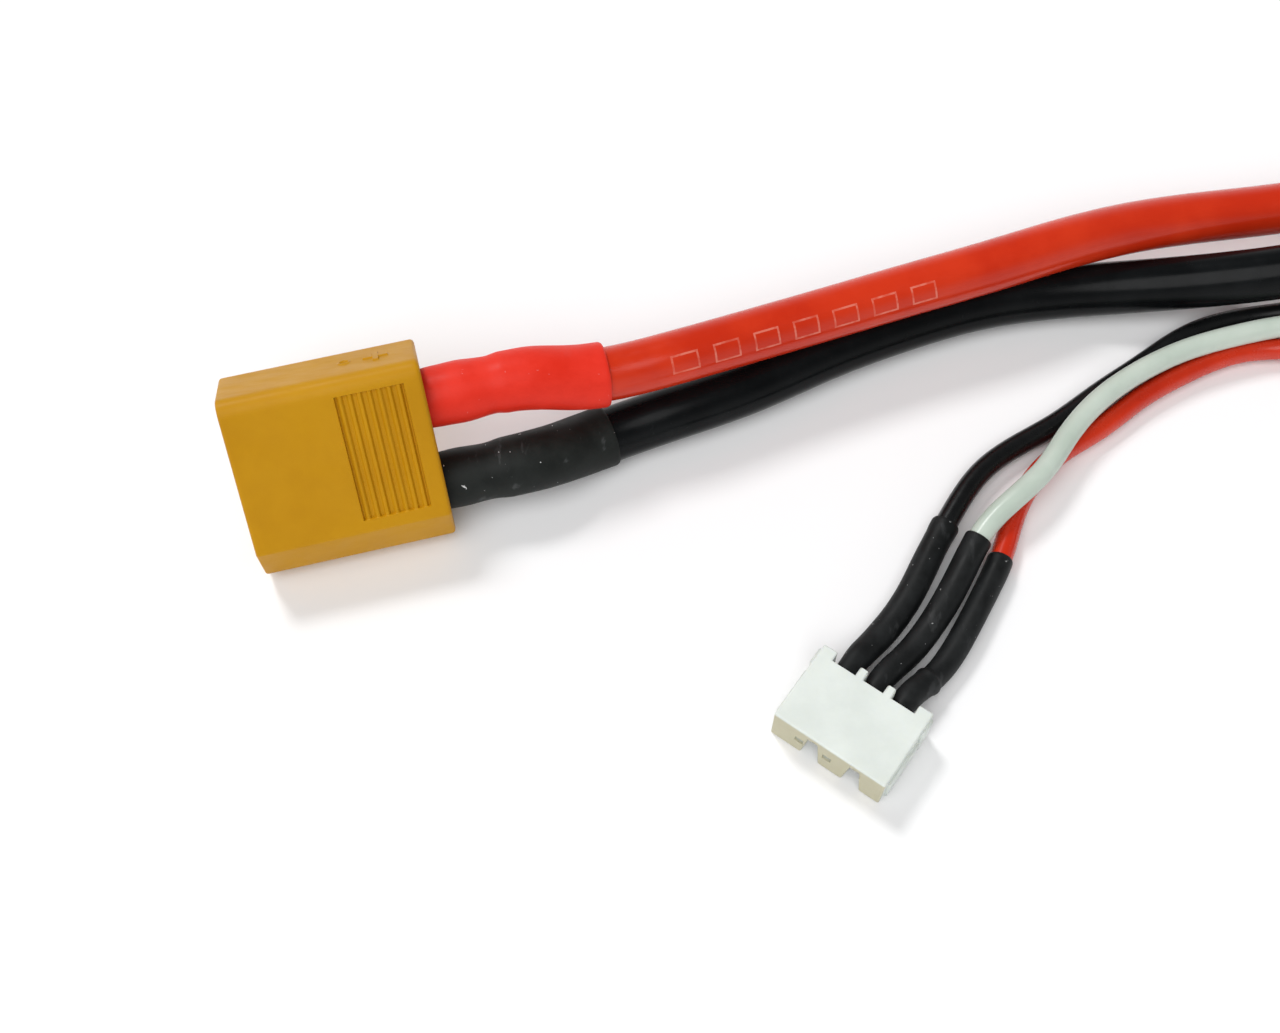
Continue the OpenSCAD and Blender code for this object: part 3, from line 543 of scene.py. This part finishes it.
# Rows of the shell, as (distance forward, inset): the recess at the rear and its rounded rim, the
# outside, then the rounded mating lip and the cavity down to its floor.
cavity_floor = -housing_length + cavity_depth
outer_lines = np.unique(np.round(np.concatenate([
    np.linspace(-0.0003, -housing_length + 0.0003, 60),
    edges_of(panel_front, panel_back),
    np.linspace(panel_front + edge, panel_back - edge, rib_count * 10 + 1),
    edges_of(sign_middle - sign_reach, sign_middle - sign_half, sign_middle + sign_half,
             sign_middle + sign_reach),
    gate_middle + gate_radius * np.linspace(-1.3, 1.3, 11)]), 6))[::-1]
rows = [(-0.0005, 0.0036), (-0.0005, 0.00075), (-0.00042, 0.00070), (-0.00006, 0.00068),
        (0, 0.00060), (0, 0.00034), (-0.00008, 0.00012), (-0.00022, 0.00002)]
rows += [(x, 0.0) for x in outer_lines]
rows += [(forward - housing_length, inset) for forward, inset in (
    (0.00012, 0.00003), (0.00002, 0.00014), (0, 0.00030), (0, 0.00090), (0.00008, 0.00108),
    (0.0003, shroud_wall))]
rows += [(cavity_floor - 0.0003, shroud_wall),
         (cavity_floor - 0.00006, 0.00122), (cavity_floor, 0.0014), (cavity_floor, 0.0036)]
shell = np.empty((len(rows), len(side_of), 3))
for number, (x, inset) in enumerate(rows):
    shell[number, :, 0] = x
    shell[number, :, 1:] = shroud_outline(inset, fractions)
on_outside = np.array([inset == 0.0 for x, inset in rows])[:, None]
x, y, z = np.moveaxis(shell, -1, 0)
height = housing_relief(x, y, z, np.broadcast_to(side_of, x.shape)) * on_outside
outwards = np.stack([np.zeros_like(x),
                     np.where(side_of == 1, 1.0, np.where(side_of == 2, -1.0, 0.0)) * np.ones_like(x),
                     np.where(side_of == 0, np.sign(z), 0.0)], -1)
shell = shell + height[..., None] * outwards
for end in (0, -1):
    shell[end, :, 1:] = shell[end, :, 1:].mean(axis=0)
connector_shell = grid_piece("connector_shell", at_connector(shell.reshape(-1, 3)).reshape(shell.shape),
                             sharp=38)

amber_nylon = Finish("amber_nylon")
amber_nylon.set(Specular_IOR_Level=0.14, Subsurface_Weight=0.05, Subsurface_Scale=0.001,
                Subsurface_Radius=(1.0, 0.5, 0.1))
cloud = amber_nylon.noise(130, 4, 0.6)
streak = amber_nylon.noise(420, 5, 0.65, stretch=(0.5, 1.6, 1.0))
amber = amber_nylon.mix(amber_nylon.fit(cloud, 0.3, 0.7), (0.480, 0.226, 0.0028), (0.530, 0.260, 0.0042))
amber = amber_nylon.mix(amber_nylon.times(amber_nylon.fit(streak, 0.62, 0.78), 0.25),
                        amber, (0.37, 0.150, 0.0030))
amber_nylon.color(amber)
amber_nylon.rough(amber_nylon.fit(streak, 0.3, 0.75, 0.36, 0.52))
amber_nylon.bump(amber_nylon.noise(6000, 3), 0.000006)
amber_nylon.bump(amber_nylon.noise(700, 4), 0.000018)
amber_nylon.on(connector_shell)
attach(connector_shell, "root")
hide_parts("connector_housing")


# --- Metal inside the power connector ---------------------------------------------------------
# Turned brass bullets, slotted to be springy and plated with gold, each with a solder cup at
# its rear. The bared copper strands lie in the cups, tinned with solder.
def plated(name, deep, bright, rough):
    """Plated metal: turned or rolled, with faint streaks and slightly uneven gloss."""
    metal = Finish(name)
    metal.set(Metallic=1.0)
    tone = metal.noise(1200, 4, 0.6)
    metal.color(metal.mix(metal.fit(tone, 0.3, 0.7), deep, bright))
    metal.rough(metal.fit(metal.noise(3500, 3), 0.3, 0.7, rough, rough + 0.15))
    metal.bump(metal.noise(5000, 2), 0.000004)
    return metal


gold = plated("gold_plate", (0.72, 0.48, 0.17), (0.90, 0.66, 0.28), 0.20)
for node in ("contact_positive", "contact_negative"):
    gold.on(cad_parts[node])
tinned_copper = plated("tinned_copper", (0.62, 0.36, 0.22), (0.78, 0.62, 0.52), 0.32)
for node in ("strands_positive", "strands_negative", "balance_strands"):
    tinned_copper.on(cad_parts[node])


# --- Balance wires ----------------------------------------------------------------------------
# Three thin wires with the same silicone skin, one to each cell junction: black, white and red.
# They run close together from the pack, and the white one lies over the red one on its way to
# the plug.
plug_yaw = math.radians(-35.8)
plug_length, plug_thickness, plug_pitch = 0.0071, 0.0041, 0.0025
plug_place = np.array([lead_end - 0.0536, -0.0362, 0.0])
plug_axes = np.array([[math.cos(plug_yaw), math.sin(plug_yaw), 0],
                      [-math.sin(plug_yaw), math.cos(plug_yaw), 0], [0, 0, 1]])
wire_diameter, wire_strip = 0.0019, 0.0024
wire_step, wire_sides = 0.0004, 24
black_route = [
    (-0.0531, -0.03175, 0.0013), (-0.0505, -0.0284, 0.0013), (-0.0482, -0.0242, 0.0013),
    (-0.0458, -0.0200, 0.0013), (-0.0432, -0.0164, 0.0012), (-0.0406, -0.0142, 0.0010),
    (-0.0364, -0.0116, 0.0010), (-0.0321, -0.0084, 0.0010), (-0.0280, -0.0055, 0.0010),
    (-0.0231, -0.0022, 0.0010), (-0.0181, -0.0006, 0.0010), (-0.0125, -0.0002, 0.0018),
    (-0.006, -0.0005, 0.0042), (0, -0.001, 0.006)]
white_route = [
    (-0.05085, -0.0332, 0.00135), (-0.0482, -0.0299, 0.0015), (-0.0459, -0.0261, 0.0019),
    (-0.0436, -0.0223, 0.0026), (-0.0408, -0.0196, 0.0031), (-0.0382, -0.0170, 0.0031),
    (-0.0360, -0.0139, 0.0030), (-0.0329, -0.0104, 0.0030), (-0.029, -0.0075, 0.0030),
    (-0.0246, -0.0052, 0.0029), (-0.0198, -0.0036, 0.0028), (-0.015, -0.0026, 0.0029),
    (-0.008, -0.0028, 0.0042), (0, -0.0035, 0.006)]
red_route = [
    (-0.04885, -0.0350, 0.00135), (-0.0464, -0.0318, 0.0013), (-0.0442, -0.0280, 0.0013),
    (-0.0423, -0.0243, 0.0012), (-0.0408, -0.0204, 0.0010), (-0.0385, -0.0166, 0.0010),
    (-0.0362, -0.0144, 0.0010), (-0.0327, -0.0121, 0.0010), (-0.0287, -0.0090, 0.0010),
    (-0.024, -0.0062, 0.0010), (-0.019, -0.0042, 0.0010), (-0.0136, -0.0041, 0.0015),
    (-0.007, -0.0051, 0.0038), (0, -0.006, 0.006)]


def at_plug(local):
    """Turns points in the plug's own frame (along the row, back along the wires, up) into the row
    frame: its place plus each coordinate times the matching axis."""
    return plug_place + np.asarray(local) @ plug_axes


def wire_line(circuit, route):
    """Centreline of a balance wire, from inside the pack to its crimp in the plug."""
    out = [at_plug([circuit * plug_pitch, back, plug_thickness / 2])
           for back in (-0.002, -0.0012, -0.0004, 0.0006)]
    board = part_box("tab_board")[0][0]
    points = out + [np.array(p) + [lead_end, 0, 0] for p in route]
    points.append(np.array([board - wire_strip, *points[-1][1:]]))
    return smooth_line(points, wire_step)[::-1]


wires = {}
wire_lines = {}
for shade, circuit, route, deep, pale, gloss, shine in (
        ("black", -1, black_route, (0.0030, 0.0034, 0.0036), (0.0068, 0.0074, 0.0078), 0.26, 0.25),
        ("white", 0, white_route, (0.47, 0.545, 0.475), (0.55, 0.62, 0.55), 0.30, 0.40),
        ("red", 1, red_route, (0.53, 0.022, 0.004), (0.61, 0.032, 0.007), 0.22, 0.40)):
    wire_lines[shade] = wire_line(circuit, route)
    wires[shade] = lead_piece(f"{shade}_wire", wire_lines[shade], wire_diameter, wire_sides)
    skin = silicone(f"{shade}_wire_silicone", deep, pale, gloss, shine)
    if shade == "white":
        skin.set(Subsurface_Weight=0.15, Subsurface_Scale=0.001, Subsurface_Radius=(1.0, 1.0, 0.9))
    skin.on(wires[shade])
    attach(wires[shade], "root")
    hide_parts(f"balance_wire_{shade}")


# --- Balance wires' shrunk sleeves ------------------------------------------------------------
# Thin black tube over the last stretch of each wire, down to the plug's teeth. It is slack over
# the wire, tight where the crimp begins, and a little different on each.
wire_sleeve_length, wire_sleeve_step, wire_sleeve_bore = 0.0170, 0.00012, wire_diameter / 2 - 0.0001
sleeve_stops = {
    "black": [(0, 0.00098), (0.0008, 0.00099), (0.0030, 0.00110), (0.0060, 0.00117), (0.0120, 0.00117),
              (0.0155, 0.00114), (0.0163, 0.00119), (wire_sleeve_length, 0.00120)],
    "white": [(0, 0.00098), (0.0008, 0.00099), (0.0034, 0.00108), (0.0060, 0.00112), (0.0120, 0.00114),
              (0.0160, 0.00114), (wire_sleeve_length, 0.00118)],
    "red": [(0, 0.00098), (0.0008, 0.00099), (0.0014, 0.00107), (0.0034, 0.00109), (0.0040, 0.00119),
            (0.0045, 0.00103), (0.0070, 0.00106), (0.0120, 0.00105), (wire_sleeve_length, 0.00108)]}
for shade, circuit, phase, darkest in (
        ("black", -1, 0.4, (0.0058, 0.0066, 0.0068)), ("white", 0, 1.9, (0.0068, 0.0076, 0.0078)),
        ("red", 1, 3.1, (0.0063, 0.0071, 0.0073))):
    outward = wire_lines[shade][::-1]
    start = at_plug([[circuit * plug_pitch, back, plug_thickness / 2] for back in (-0.00075, 0.0)])
    tube_line = smooth_line(np.concatenate([start, outward[8:60:6]]), wire_sleeve_step)
    tube = sleeve_piece(f"{shade}_wire_sleeve", tube_line, wire_sleeve_length, sleeve_stops[shade],
                        wire_sleeve_bore, wall=0.00018, sides=40, lumps=0.000016, phase=phase)
    shrink_tube(f"{shade}_wire_shrink", darkest, (0.0125, 0.0140, 0.0145),
                gloss=0.44, flecks=0.45).on(tube)
    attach(tube, "root")
    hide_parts(f"balance_sleeve_{shade}")


# --- Balance plug -----------------------------------------------------------------------------
# A small natural-white nylon housing with three chambers, teeth between the wires at its rear
# and two keying slots in its mating end, whose face is painted a darker beige as painted shade.
# Each chamber holds a tin-plated crimp terminal.
def softened(name, node, radius, segments, shortest):
    """A copy of a CAD node with its points merged, its flat faces joined, and every convex edge that
    is longer than `shortest` rounded."""
    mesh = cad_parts[node].data.copy()
    mesh.name = name
    work = bmesh.new()
    work.from_mesh(mesh)
    bmesh.ops.remove_doubles(work, verts=work.verts, dist=1e-6)
    bmesh.ops.dissolve_limit(work, angle_limit=math.radians(1.5), verts=work.verts, edges=work.edges)
    weight = work.edges.layers.float.new("bevel_weight_edge")
    for line in work.edges:
        corner = line.is_manifold and line.is_convex and line.calc_face_angle() > math.radians(40)
        line[weight] = 1.0 if corner and line.calc_length() > shortest else 0.0
    work.to_mesh(mesh)
    work.free()
    mesh.set_sharp_from_angle(angle=math.radians(40))
    piece = bpy.data.objects.new(name, mesh)
    bpy.context.scene.collection.objects.link(piece)
    bevel = piece.modifiers.new("rounded_edges", "BEVEL")
    bevel.width, bevel.segments = radius, segments
    bevel.limit_method = "WEIGHT"
    bevel.use_clamp_overlap = False
    bevel.harden_normals = False
    mesh.polygons.foreach_set("use_smooth", np.ones(len(mesh.polygons), bool))
    return piece


plug_shell = softened("plug_shell", "plug_housing", radius=0.00013, segments=3, shortest=0.00077)
white_nylon = Finish("white_nylon")
white_nylon.set(Specular_IOR_Level=0.32, Subsurface_Weight=0.12, Subsurface_Scale=0.0012,
                Subsurface_Radius=(1.0, 0.9, 0.6))
patch = white_nylon.fit(white_nylon.noise(260, 4, 0.6), 0.35, 0.7)
plain_white = white_nylon.mix(patch, (0.66, 0.705, 0.665), (0.72, 0.765, 0.725))
from_middle = white_nylon.mapped(move=(-plug_place[0], -plug_place[1], 0))
aside, ahead, raised = white_nylon.parts(from_middle)
back = white_nylon.math("ADD", white_nylon.times(aside, -math.sin(plug_yaw)),
                        white_nylon.times(ahead, math.cos(plug_yaw)))
# Painted shade: the mating end's face turns a darker beige, except for a strip along its top.
painted_mating_shade = white_nylon.times(white_nylon.fit(back, -plug_length + 0.00030, -plug_length + 0.00005),
                           white_nylon.fit(raised, plug_thickness - 0.00005, plug_thickness - 0.0004))
white_nylon.color(white_nylon.mix(painted_mating_shade, plain_white, (0.50, 0.475, 0.335)))
white_nylon.rough(white_nylon.fit(white_nylon.noise(1500, 3), 0.3, 0.7, 0.42, 0.56))
white_nylon.bump(white_nylon.noise(900, 4), 0.000022)
white_nylon.on(plug_shell)
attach(plug_shell, "root")
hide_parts("plug_housing")
tin = plated("tin_plate", (0.62, 0.61, 0.57), (0.80, 0.79, 0.75), 0.26)
for shade in wires:
    tin.on(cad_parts[f"crimp_terminal_{shade}"])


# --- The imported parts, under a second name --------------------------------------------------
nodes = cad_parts


# --- Outer wrap -------------------------------------------------------------------------------
# PVC tube shrunk tight round the cells: it is pulled smooth on the flats, follows the groove
# between the two cells along the sides, behind the stiff guard round their tabs, and gathers in
# small folds where it draws in over the foam pads at the ends.
wrap_low, wrap_high = (np.array(corner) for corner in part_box("shrink_wrap"))
wrap_length, wrap_width, wrap_height = wrap_high - wrap_low
wrap_radius, wrap_lip, wrap_bend, wrap_wall = 0.0026, 0.0026, 0.0014, 0.0003
guard_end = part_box("tab_guard")[1][0] - wrap_low[0]
fold_depth, groove_depth, ripple_depth = 0.00020, 0.00030, 0.00004
groove_half_height = 0.0014


def rounded_ring(width, height, radius, count):
    """Points round a rounded rectangle in Y and Z: count on each corner's arc and on each side, the
    sides' points crowded towards their ends, with each point's outward direction."""
    ease = 0.5 - 0.5 * np.cos(np.linspace(0, np.pi, count + 2)[1:-1])
    spots, outs = [], []
    for turn in range(4):
        angle = turn * np.pi / 2 + np.linspace(0, np.pi / 2, count)
        sy, sz = ((1, 1), (-1, 1), (-1, -1), (1, -1))[turn]
        centre = np.array([sy * (width / 2 - radius), sz * (height / 2 - radius)])
        arc = np.stack([np.cos(angle), np.sin(angle)], -1)
        spots.append(centre + radius * arc)
        outs.append(arc)
        ny, nz = ((-1, 1), (-1, -1), (1, -1), (1, 1))[turn]
        following = np.array([ny * (width / 2 - radius), nz * (height / 2 - radius)]) + radius * arc[-1]
        spots.append(spots[-1][-1] * (1 - ease[:, None]) + following * ease[:, None])
        outs.append(np.broadcast_to(arc[-1], (count, 2)))
    return np.concatenate(spots), np.concatenate(outs)


def end_curve(reach, bend, steps):
    """How the wrap turns in at an end: pairs of (distance from the end plane, inset), first round a
    quarter circle of radius `bend`, then straight in to `reach`."""
    angle = np.linspace(0, np.pi / 2, steps)
    arc = [(bend * (1 - math.sin(a)), bend * (1 - math.cos(a))) for a in angle]
    flat = [(0.0, bend + (reach - bend) * f) for f in (0.25, 0.5, 0.75, 1.0)]
    return arc + flat


near = end_curve(wrap_lip, wrap_bend, 9)
stations = near[::-1]
stations += [(x, 0.0) for x in np.linspace(wrap_bend, wrap_length - wrap_bend, 140)[1:-1]]
stations += [(wrap_length - near_x, inset) for near_x, inset in near]
outer_rows = len(stations)
stations += [(min(max(x, wrap_wall), wrap_length - wrap_wall), max(inset, wrap_wall))
             for x, inset in stations[::-1]]
skin_rows = []
for number, (x, inset) in enumerate(stations):
    ring, out = rounded_ring(wrap_width - 2 * inset, wrap_height - 2 * inset,
                             max(wrap_radius - inset, 0.0011), 14)
    angle = np.arctan2(ring[:, 1] * wrap_width / wrap_height, ring[:, 0])
    from_end = min(x, wrap_length - x)
    gather = math.exp(-from_end / 0.0035) * (inset / wrap_lip + 0.25)
    corner = np.abs(np.sin(2 * angle)) ** 4
    folds = -fold_depth * gather * corner * (0.5 + 0.5 * np.sin(34 * angle + 3 * np.sin(5 * angle)))
    groove = -groove_depth * np.exp(-(ring[:, 1] / groove_half_height) ** 2) * (np.abs(out[:, 0]) > 0.9)
    groove *= (1 - math.exp(-from_end / 0.006)) / (1 + math.exp((guard_end + 0.003 - x) / 0.0008))
    ripple = -ripple_depth * (1 + np.sin(x / 0.0043 + 2.0 * np.sin(3 * angle)) * np.sin(x / 0.011 + angle))
    relief = folds + groove + ripple if number < outer_rows else np.full(len(ring), -wrap_wall)
    place = ring + out * relief[:, None]
    skin_rows.append(np.column_stack([np.full(len(place), wrap_low[0] + x), place[:, 0],
                                      place[:, 1] + wrap_height / 2]))
pack_wrap = grid_piece("pack_wrap", np.array(skin_rows), close_rows=True, sharp=50)
wrap_film = Finish("wrap_film")
wrap_film.set(Specular_IOR_Level=0.32, Coat_Weight=0.30, Coat_Roughness=0.10)
tone = wrap_film.noise(70, 4, 0.6)
wrap_film.color(wrap_film.mix(wrap_film.fit(tone, 0.3, 0.7), (0.011, 0.014, 0.021), (0.015, 0.019, 0.028)))
scuff = wrap_film.noise(900, 5, 0.7, stretch=(0.25, 1, 1))
wrap_film.rough(wrap_film.fit(scuff, 0.40, 0.75, 0.20, 0.34))
wrap_film.bump(wrap_film.noise(60, 2, stretch=(0.4, 1, 1)), 0.00010)
wrap_film.bump(wrap_film.noise(2500, 2), 0.0000012)
wrap_film.on(pack_wrap)
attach(pack_wrap, "root")
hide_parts("shrink_wrap")


# --- Foam pads --------------------------------------------------------------------------------
# Closed-cell foam, die-cut, one at each end of the cells. The wrap's lip squeezes its edge, so
# it crowns a little in the opening, and it hugs the five leads that pass through it.
pad_crown, pad_dent = 0.0005, 0.0006
foam_near, foam_far = 0.0004, 0.0028


def foam_pad(name, x_outer, x_inner, dents):
    """A pad between two x planes: concentric rounded rectangles, crowned outwards by a smooth dome and
    drawn in round each lead by a bell of that lead's size."""
    sign = 1.0 if x_inner > x_outer else -1.0
    width, height = wrap_width - 0.0009, wrap_height - 0.0009
    edge_ring = rounded_ring(width, height, 0.0022, 14)[0]
    face = np.array([edge_ring * f for f in
                     (0.0, 0.08, 0.16, 0.26, 0.36, 0.46, 0.56, 0.66, 0.75, 0.83, 0.90, 0.96, 1.0)])
    reach = np.max(np.abs(face / [width / 2, height / 2]), axis=-1)
    rise = pad_crown * np.clip((0.72 - reach) / 0.3, 0, 1) ** 0.5
    for y, z, radius in dents:
        away = np.hypot(face[..., 0] - y, face[..., 1] + wrap_height / 2 - z)
        rise = rise - pad_dent * np.exp(-((away - radius) / 0.0008).clip(0) ** 2)
    front = np.concatenate([(x_outer - sign * rise)[..., None], face], -1)
    back = np.concatenate([np.full(face.shape[:2] + (1,), x_inner), face], -1)[::-1]
    rows = np.concatenate([front, back])
    rows[..., 2] += wrap_height / 2
    return grid_piece(name, rows, sharp=50)


dents = [(*route[-1][1:], diameter / 2) for route, diameter in (
    (positive_route, positive_diameter), (negative_route, negative_diameter),
    (black_route, wire_diameter), (white_route, wire_diameter), (red_route, wire_diameter))]
front_foam = foam_pad("front_foam", wrap_low[0] + foam_near, wrap_low[0] + foam_far, dents)
rear_foam = foam_pad("rear_foam", wrap_high[0] - foam_near, wrap_high[0] - foam_far, [])
foam = Finish("cell_foam")
foam.set(Specular_IOR_Level=0.25)
grain = foam.node("TexVoronoi")
grain.inputs["Scale"].default_value = 2600
foam.tree.links.new(foam.place, grain.inputs["Vector"])
foam.color(foam.mix(foam.fit(grain.outputs["Distance"], 0.0, 0.7),
                    (0.012, 0.012, 0.013), (0.055, 0.056, 0.058)))
foam.rough(foam.fit(foam.noise(1200, 3), 0.3, 0.7, 0.78, 0.95))
foam.bump(grain.outputs["Distance"], 0.00008)
for piece, node in ((front_foam, "front_pad"), (rear_foam, "rear_pad")):
    foam.on(piece)
    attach(piece, "root")
    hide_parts(node)


# --- Label ------------------------------------------------------------------------------------
# A printed film sticker on the wrap's upper side: plain bands and a row of bars, no words.
label_low, label_high = (np.array(corner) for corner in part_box("label"))
label_size = label_high - label_low
label_middle = (label_low + label_high) / 2


def sticker(name):
    """A thin sheet: rounded rectangle rings from the middle out to a rounded rim and back under."""
    sizes = [(f, 0.0) for f in np.linspace(0, 0.985, 14)]
    sizes += [(0.993, 0.2), (1.0, 0.6), (1.0, 1.0), (0.0, 1.0)]
    ring = rounded_ring(label_size[1], label_size[0], 0.002, 12)[0]
    rows = []
    for f, depth in sizes:
        top = label_high[2] - depth * label_size[2]
        rows.append(np.column_stack([label_middle[0] + f * ring[:, 1], label_middle[1] - f * ring[:, 0],
                                     np.full(len(ring), top)]))
    return grid_piece(name, np.array(rows), sharp=50)


pack_label = sticker("pack_label")
print_film = Finish("printed_film")
print_film.set(Specular_IOR_Level=0.4, Coat_Weight=0.4, Coat_Roughness=0.08)
centred = print_film.mapped(move=(-label_middle[0], 0, 0))
px, py = print_film.parts(centred)[:2]
paper_tone = print_film.fit(print_film.noise(90, 3), 0.3, 0.7)
ground = print_film.mix(paper_tone, (0.50, 0.52, 0.54), (0.60, 0.62, 0.64))
slant = print_film.math("FRACT", print_film.times(print_film.math("ADD", px, py), 110))
slashes = print_film.times(print_film.math("GREATER_THAN", slant, 0.5), print_film.inside(px, 0.020, 0.034))
amber_band = print_film.inside(py, -0.0095, -0.0045)
bar_step = print_film.math("FRACT", print_film.times(px, 1 / 0.0042))
bars = print_film.times(print_film.math("LESS_THAN", bar_step, 0.62),
                        print_film.times(print_film.inside(px, -0.0294, 0.0084),
                                         print_film.inside(py, 0.001, 0.0085)))
printed_amber = (0.62, 0.31, 0.02)
dark_end, label_end = 0.0135, 0.039
picture = print_film.mix(print_film.inside(px, -0.0345, dark_end), ground, (0.022, 0.024, 0.030))
picture = print_film.mix(bars, picture, printed_amber)
picture = print_film.mix(slashes, picture, (0.035, 0.037, 0.042))
off_slashes = print_film.math("SUBTRACT", 1.0, print_film.inside(px, dark_end, label_end))
picture = print_film.mix(print_film.times(amber_band, off_slashes), picture, printed_amber)
print_film.color(picture)
print_film.rough(print_film.fit(print_film.noise(1600, 4), 0.35, 0.7, 0.28, 0.42))
print_film.bump(print_film.noise(60, 2), 0.00005)
print_film.on(pack_label)
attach(pack_label, "root")
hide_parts("label")


# --- Inside the wrap --------------------------------------------------------------------------
# Two pouch cells taped together, their tabs folded onto a small board and soldered, and a
# paper guard round them. None of it shows on a whole pack.
def dull(name, deep, pale, rough, scale, metallic=0.0, grain_depth=0.00002):
    """A plain working material: two tones in a cloudy mix, uneven gloss and a fine grain."""
    surface = Finish(name)
    surface.set(Metallic=metallic)
    surface.color(surface.mix(surface.fit(surface.noise(scale, 4), 0.3, 0.7), deep, pale))
    surface.rough(surface.fit(surface.noise(scale * 6, 3), 0.3, 0.7, rough, rough + 0.15))
    surface.bump(surface.noise(scale * 10, 3), grain_depth)
    return surface


pouch_foil = dull("pouch_foil", (0.62, 0.63, 0.65), (0.74, 0.75, 0.77), 0.30, 200, metallic=0.85)
electrode_black = dull("electrode_black", (0.020, 0.020, 0.022), (0.040, 0.040, 0.043), 0.75, 300)
foam_tape = dull("foam_tape", (0.70, 0.69, 0.63), (0.82, 0.81, 0.75), 0.70, 400)
amber_tape = dull("amber_tape", (0.42, 0.19, 0.03), (0.55, 0.27, 0.05), 0.22, 250)
fibre_paper = dull("fibre_paper", (0.26, 0.17, 0.09), (0.38, 0.26, 0.15), 0.72, 500)
tab_aluminium = dull("tab_aluminium", (0.72, 0.73, 0.74), (0.84, 0.85, 0.86), 0.25, 600, metallic=1.0)
tab_nickel = dull("tab_nickel", (0.56, 0.52, 0.45), (0.68, 0.64, 0.57), 0.28, 600, metallic=1.0)
board_green = dull("board_green", (0.018, 0.12, 0.045), (0.03, 0.19, 0.07), 0.30, 300)
solder_bright = dull("solder_bright", (0.62, 0.63, 0.64), (0.80, 0.81, 0.82), 0.18, 700, metallic=1.0)
for finish, covered in (
        (pouch_foil, ("cell_pouch_lower", "cell_pouch_upper")),
        (electrode_black, ("electrode_stack_lower", "electrode_stack_upper")),
        (foam_tape, ("cell_tape",)),
        (amber_tape, ("band_front", "band_rear")),
        (fibre_paper, ("tab_guard",)),
        (tab_aluminium, ("tab_lower_positive", "tab_upper_positive")),
        (tab_nickel, ("tab_lower_negative", "tab_upper_negative")),
        (board_green, ("tab_board",)),
        (solder_bright, ("tab_solder", "lead_solder"))):
    for node in covered:
        finish.on(nodes[node])


# --- Table, light and world -------------------------------------------------------------------
# A plain pale table under one broad key light from behind and to the left, a much wider and
# softer one from the front, and a surround that is bright low down and dim overhead.
floor_mesh = bpy.data.meshes.new("floor")
reach, floor_height = 12.0, -0.0001
floor_mesh.from_pydata([(-reach, -reach, 0), (reach, -reach, 0), (reach, reach, 0), (-reach, reach, 0)],
                       [], [(0, 1, 2, 3)])
floor = bpy.data.objects.new("floor", floor_mesh)
floor.location = (0, 0, floor_height)
bpy.context.scene.collection.objects.link(floor)
table_top = Finish("table_top")
table_top.set(Specular_IOR_Level=0.15)
table_top.color(table_top.mix(table_top.noise(12, 2), (0.900, 0.900, 0.905), (0.915, 0.915, 0.920)))
table_top.rough(table_top.fit(table_top.noise(40, 2), 0.3, 0.7, 0.80, 0.88))
table_top.on(floor)


def broad_light(name, towards, strength, spread):
    """A distant light as wide as `spread` degrees, shining from the direction `towards`."""
    data = bpy.data.lights.new(name, "SUN")
    data.energy = strength
    data.angle = math.radians(spread)
    lamp = bpy.data.objects.new(name, data)
    lamp.rotation_euler = Vector(towards).to_track_quat("Z", "Y").to_euler()
    bpy.context.scene.collection.objects.link(lamp)


broad_light("key", (-0.32, 0.50, 0.80), 1.35, 14)
broad_light("fill", (-0.18, -0.42, 0.89), 1.92, 55)

world = bpy.data.worlds.new("surround")
world.use_nodes = True
tree = world.node_tree
sky = tree.nodes.new("ShaderNodeTexCoord")
height = tree.nodes.new("ShaderNodeSeparateXYZ")
fade = tree.nodes.new("ShaderNodeMapRange")
fade.interpolation_type = "SMOOTHSTEP"
for key, number in (("From Min", 0.12), ("From Max", 0.70), ("To Min", 0.85), ("To Max", 0.15)):
    fade.inputs[key].default_value = number
tree.links.new(sky.outputs["Generated"], height.inputs[0])
tree.links.new(height.outputs["Z"], fade.inputs["Value"])
tree.links.new(fade.outputs["Result"], tree.nodes["Background"].inputs["Strength"])
tree.nodes["Background"].inputs["Color"].default_value = (1.0, 1.0, 1.0, 1.0)
bpy.context.scene.world = world
bpy.context.scene.view_settings.view_transform = "Standard"
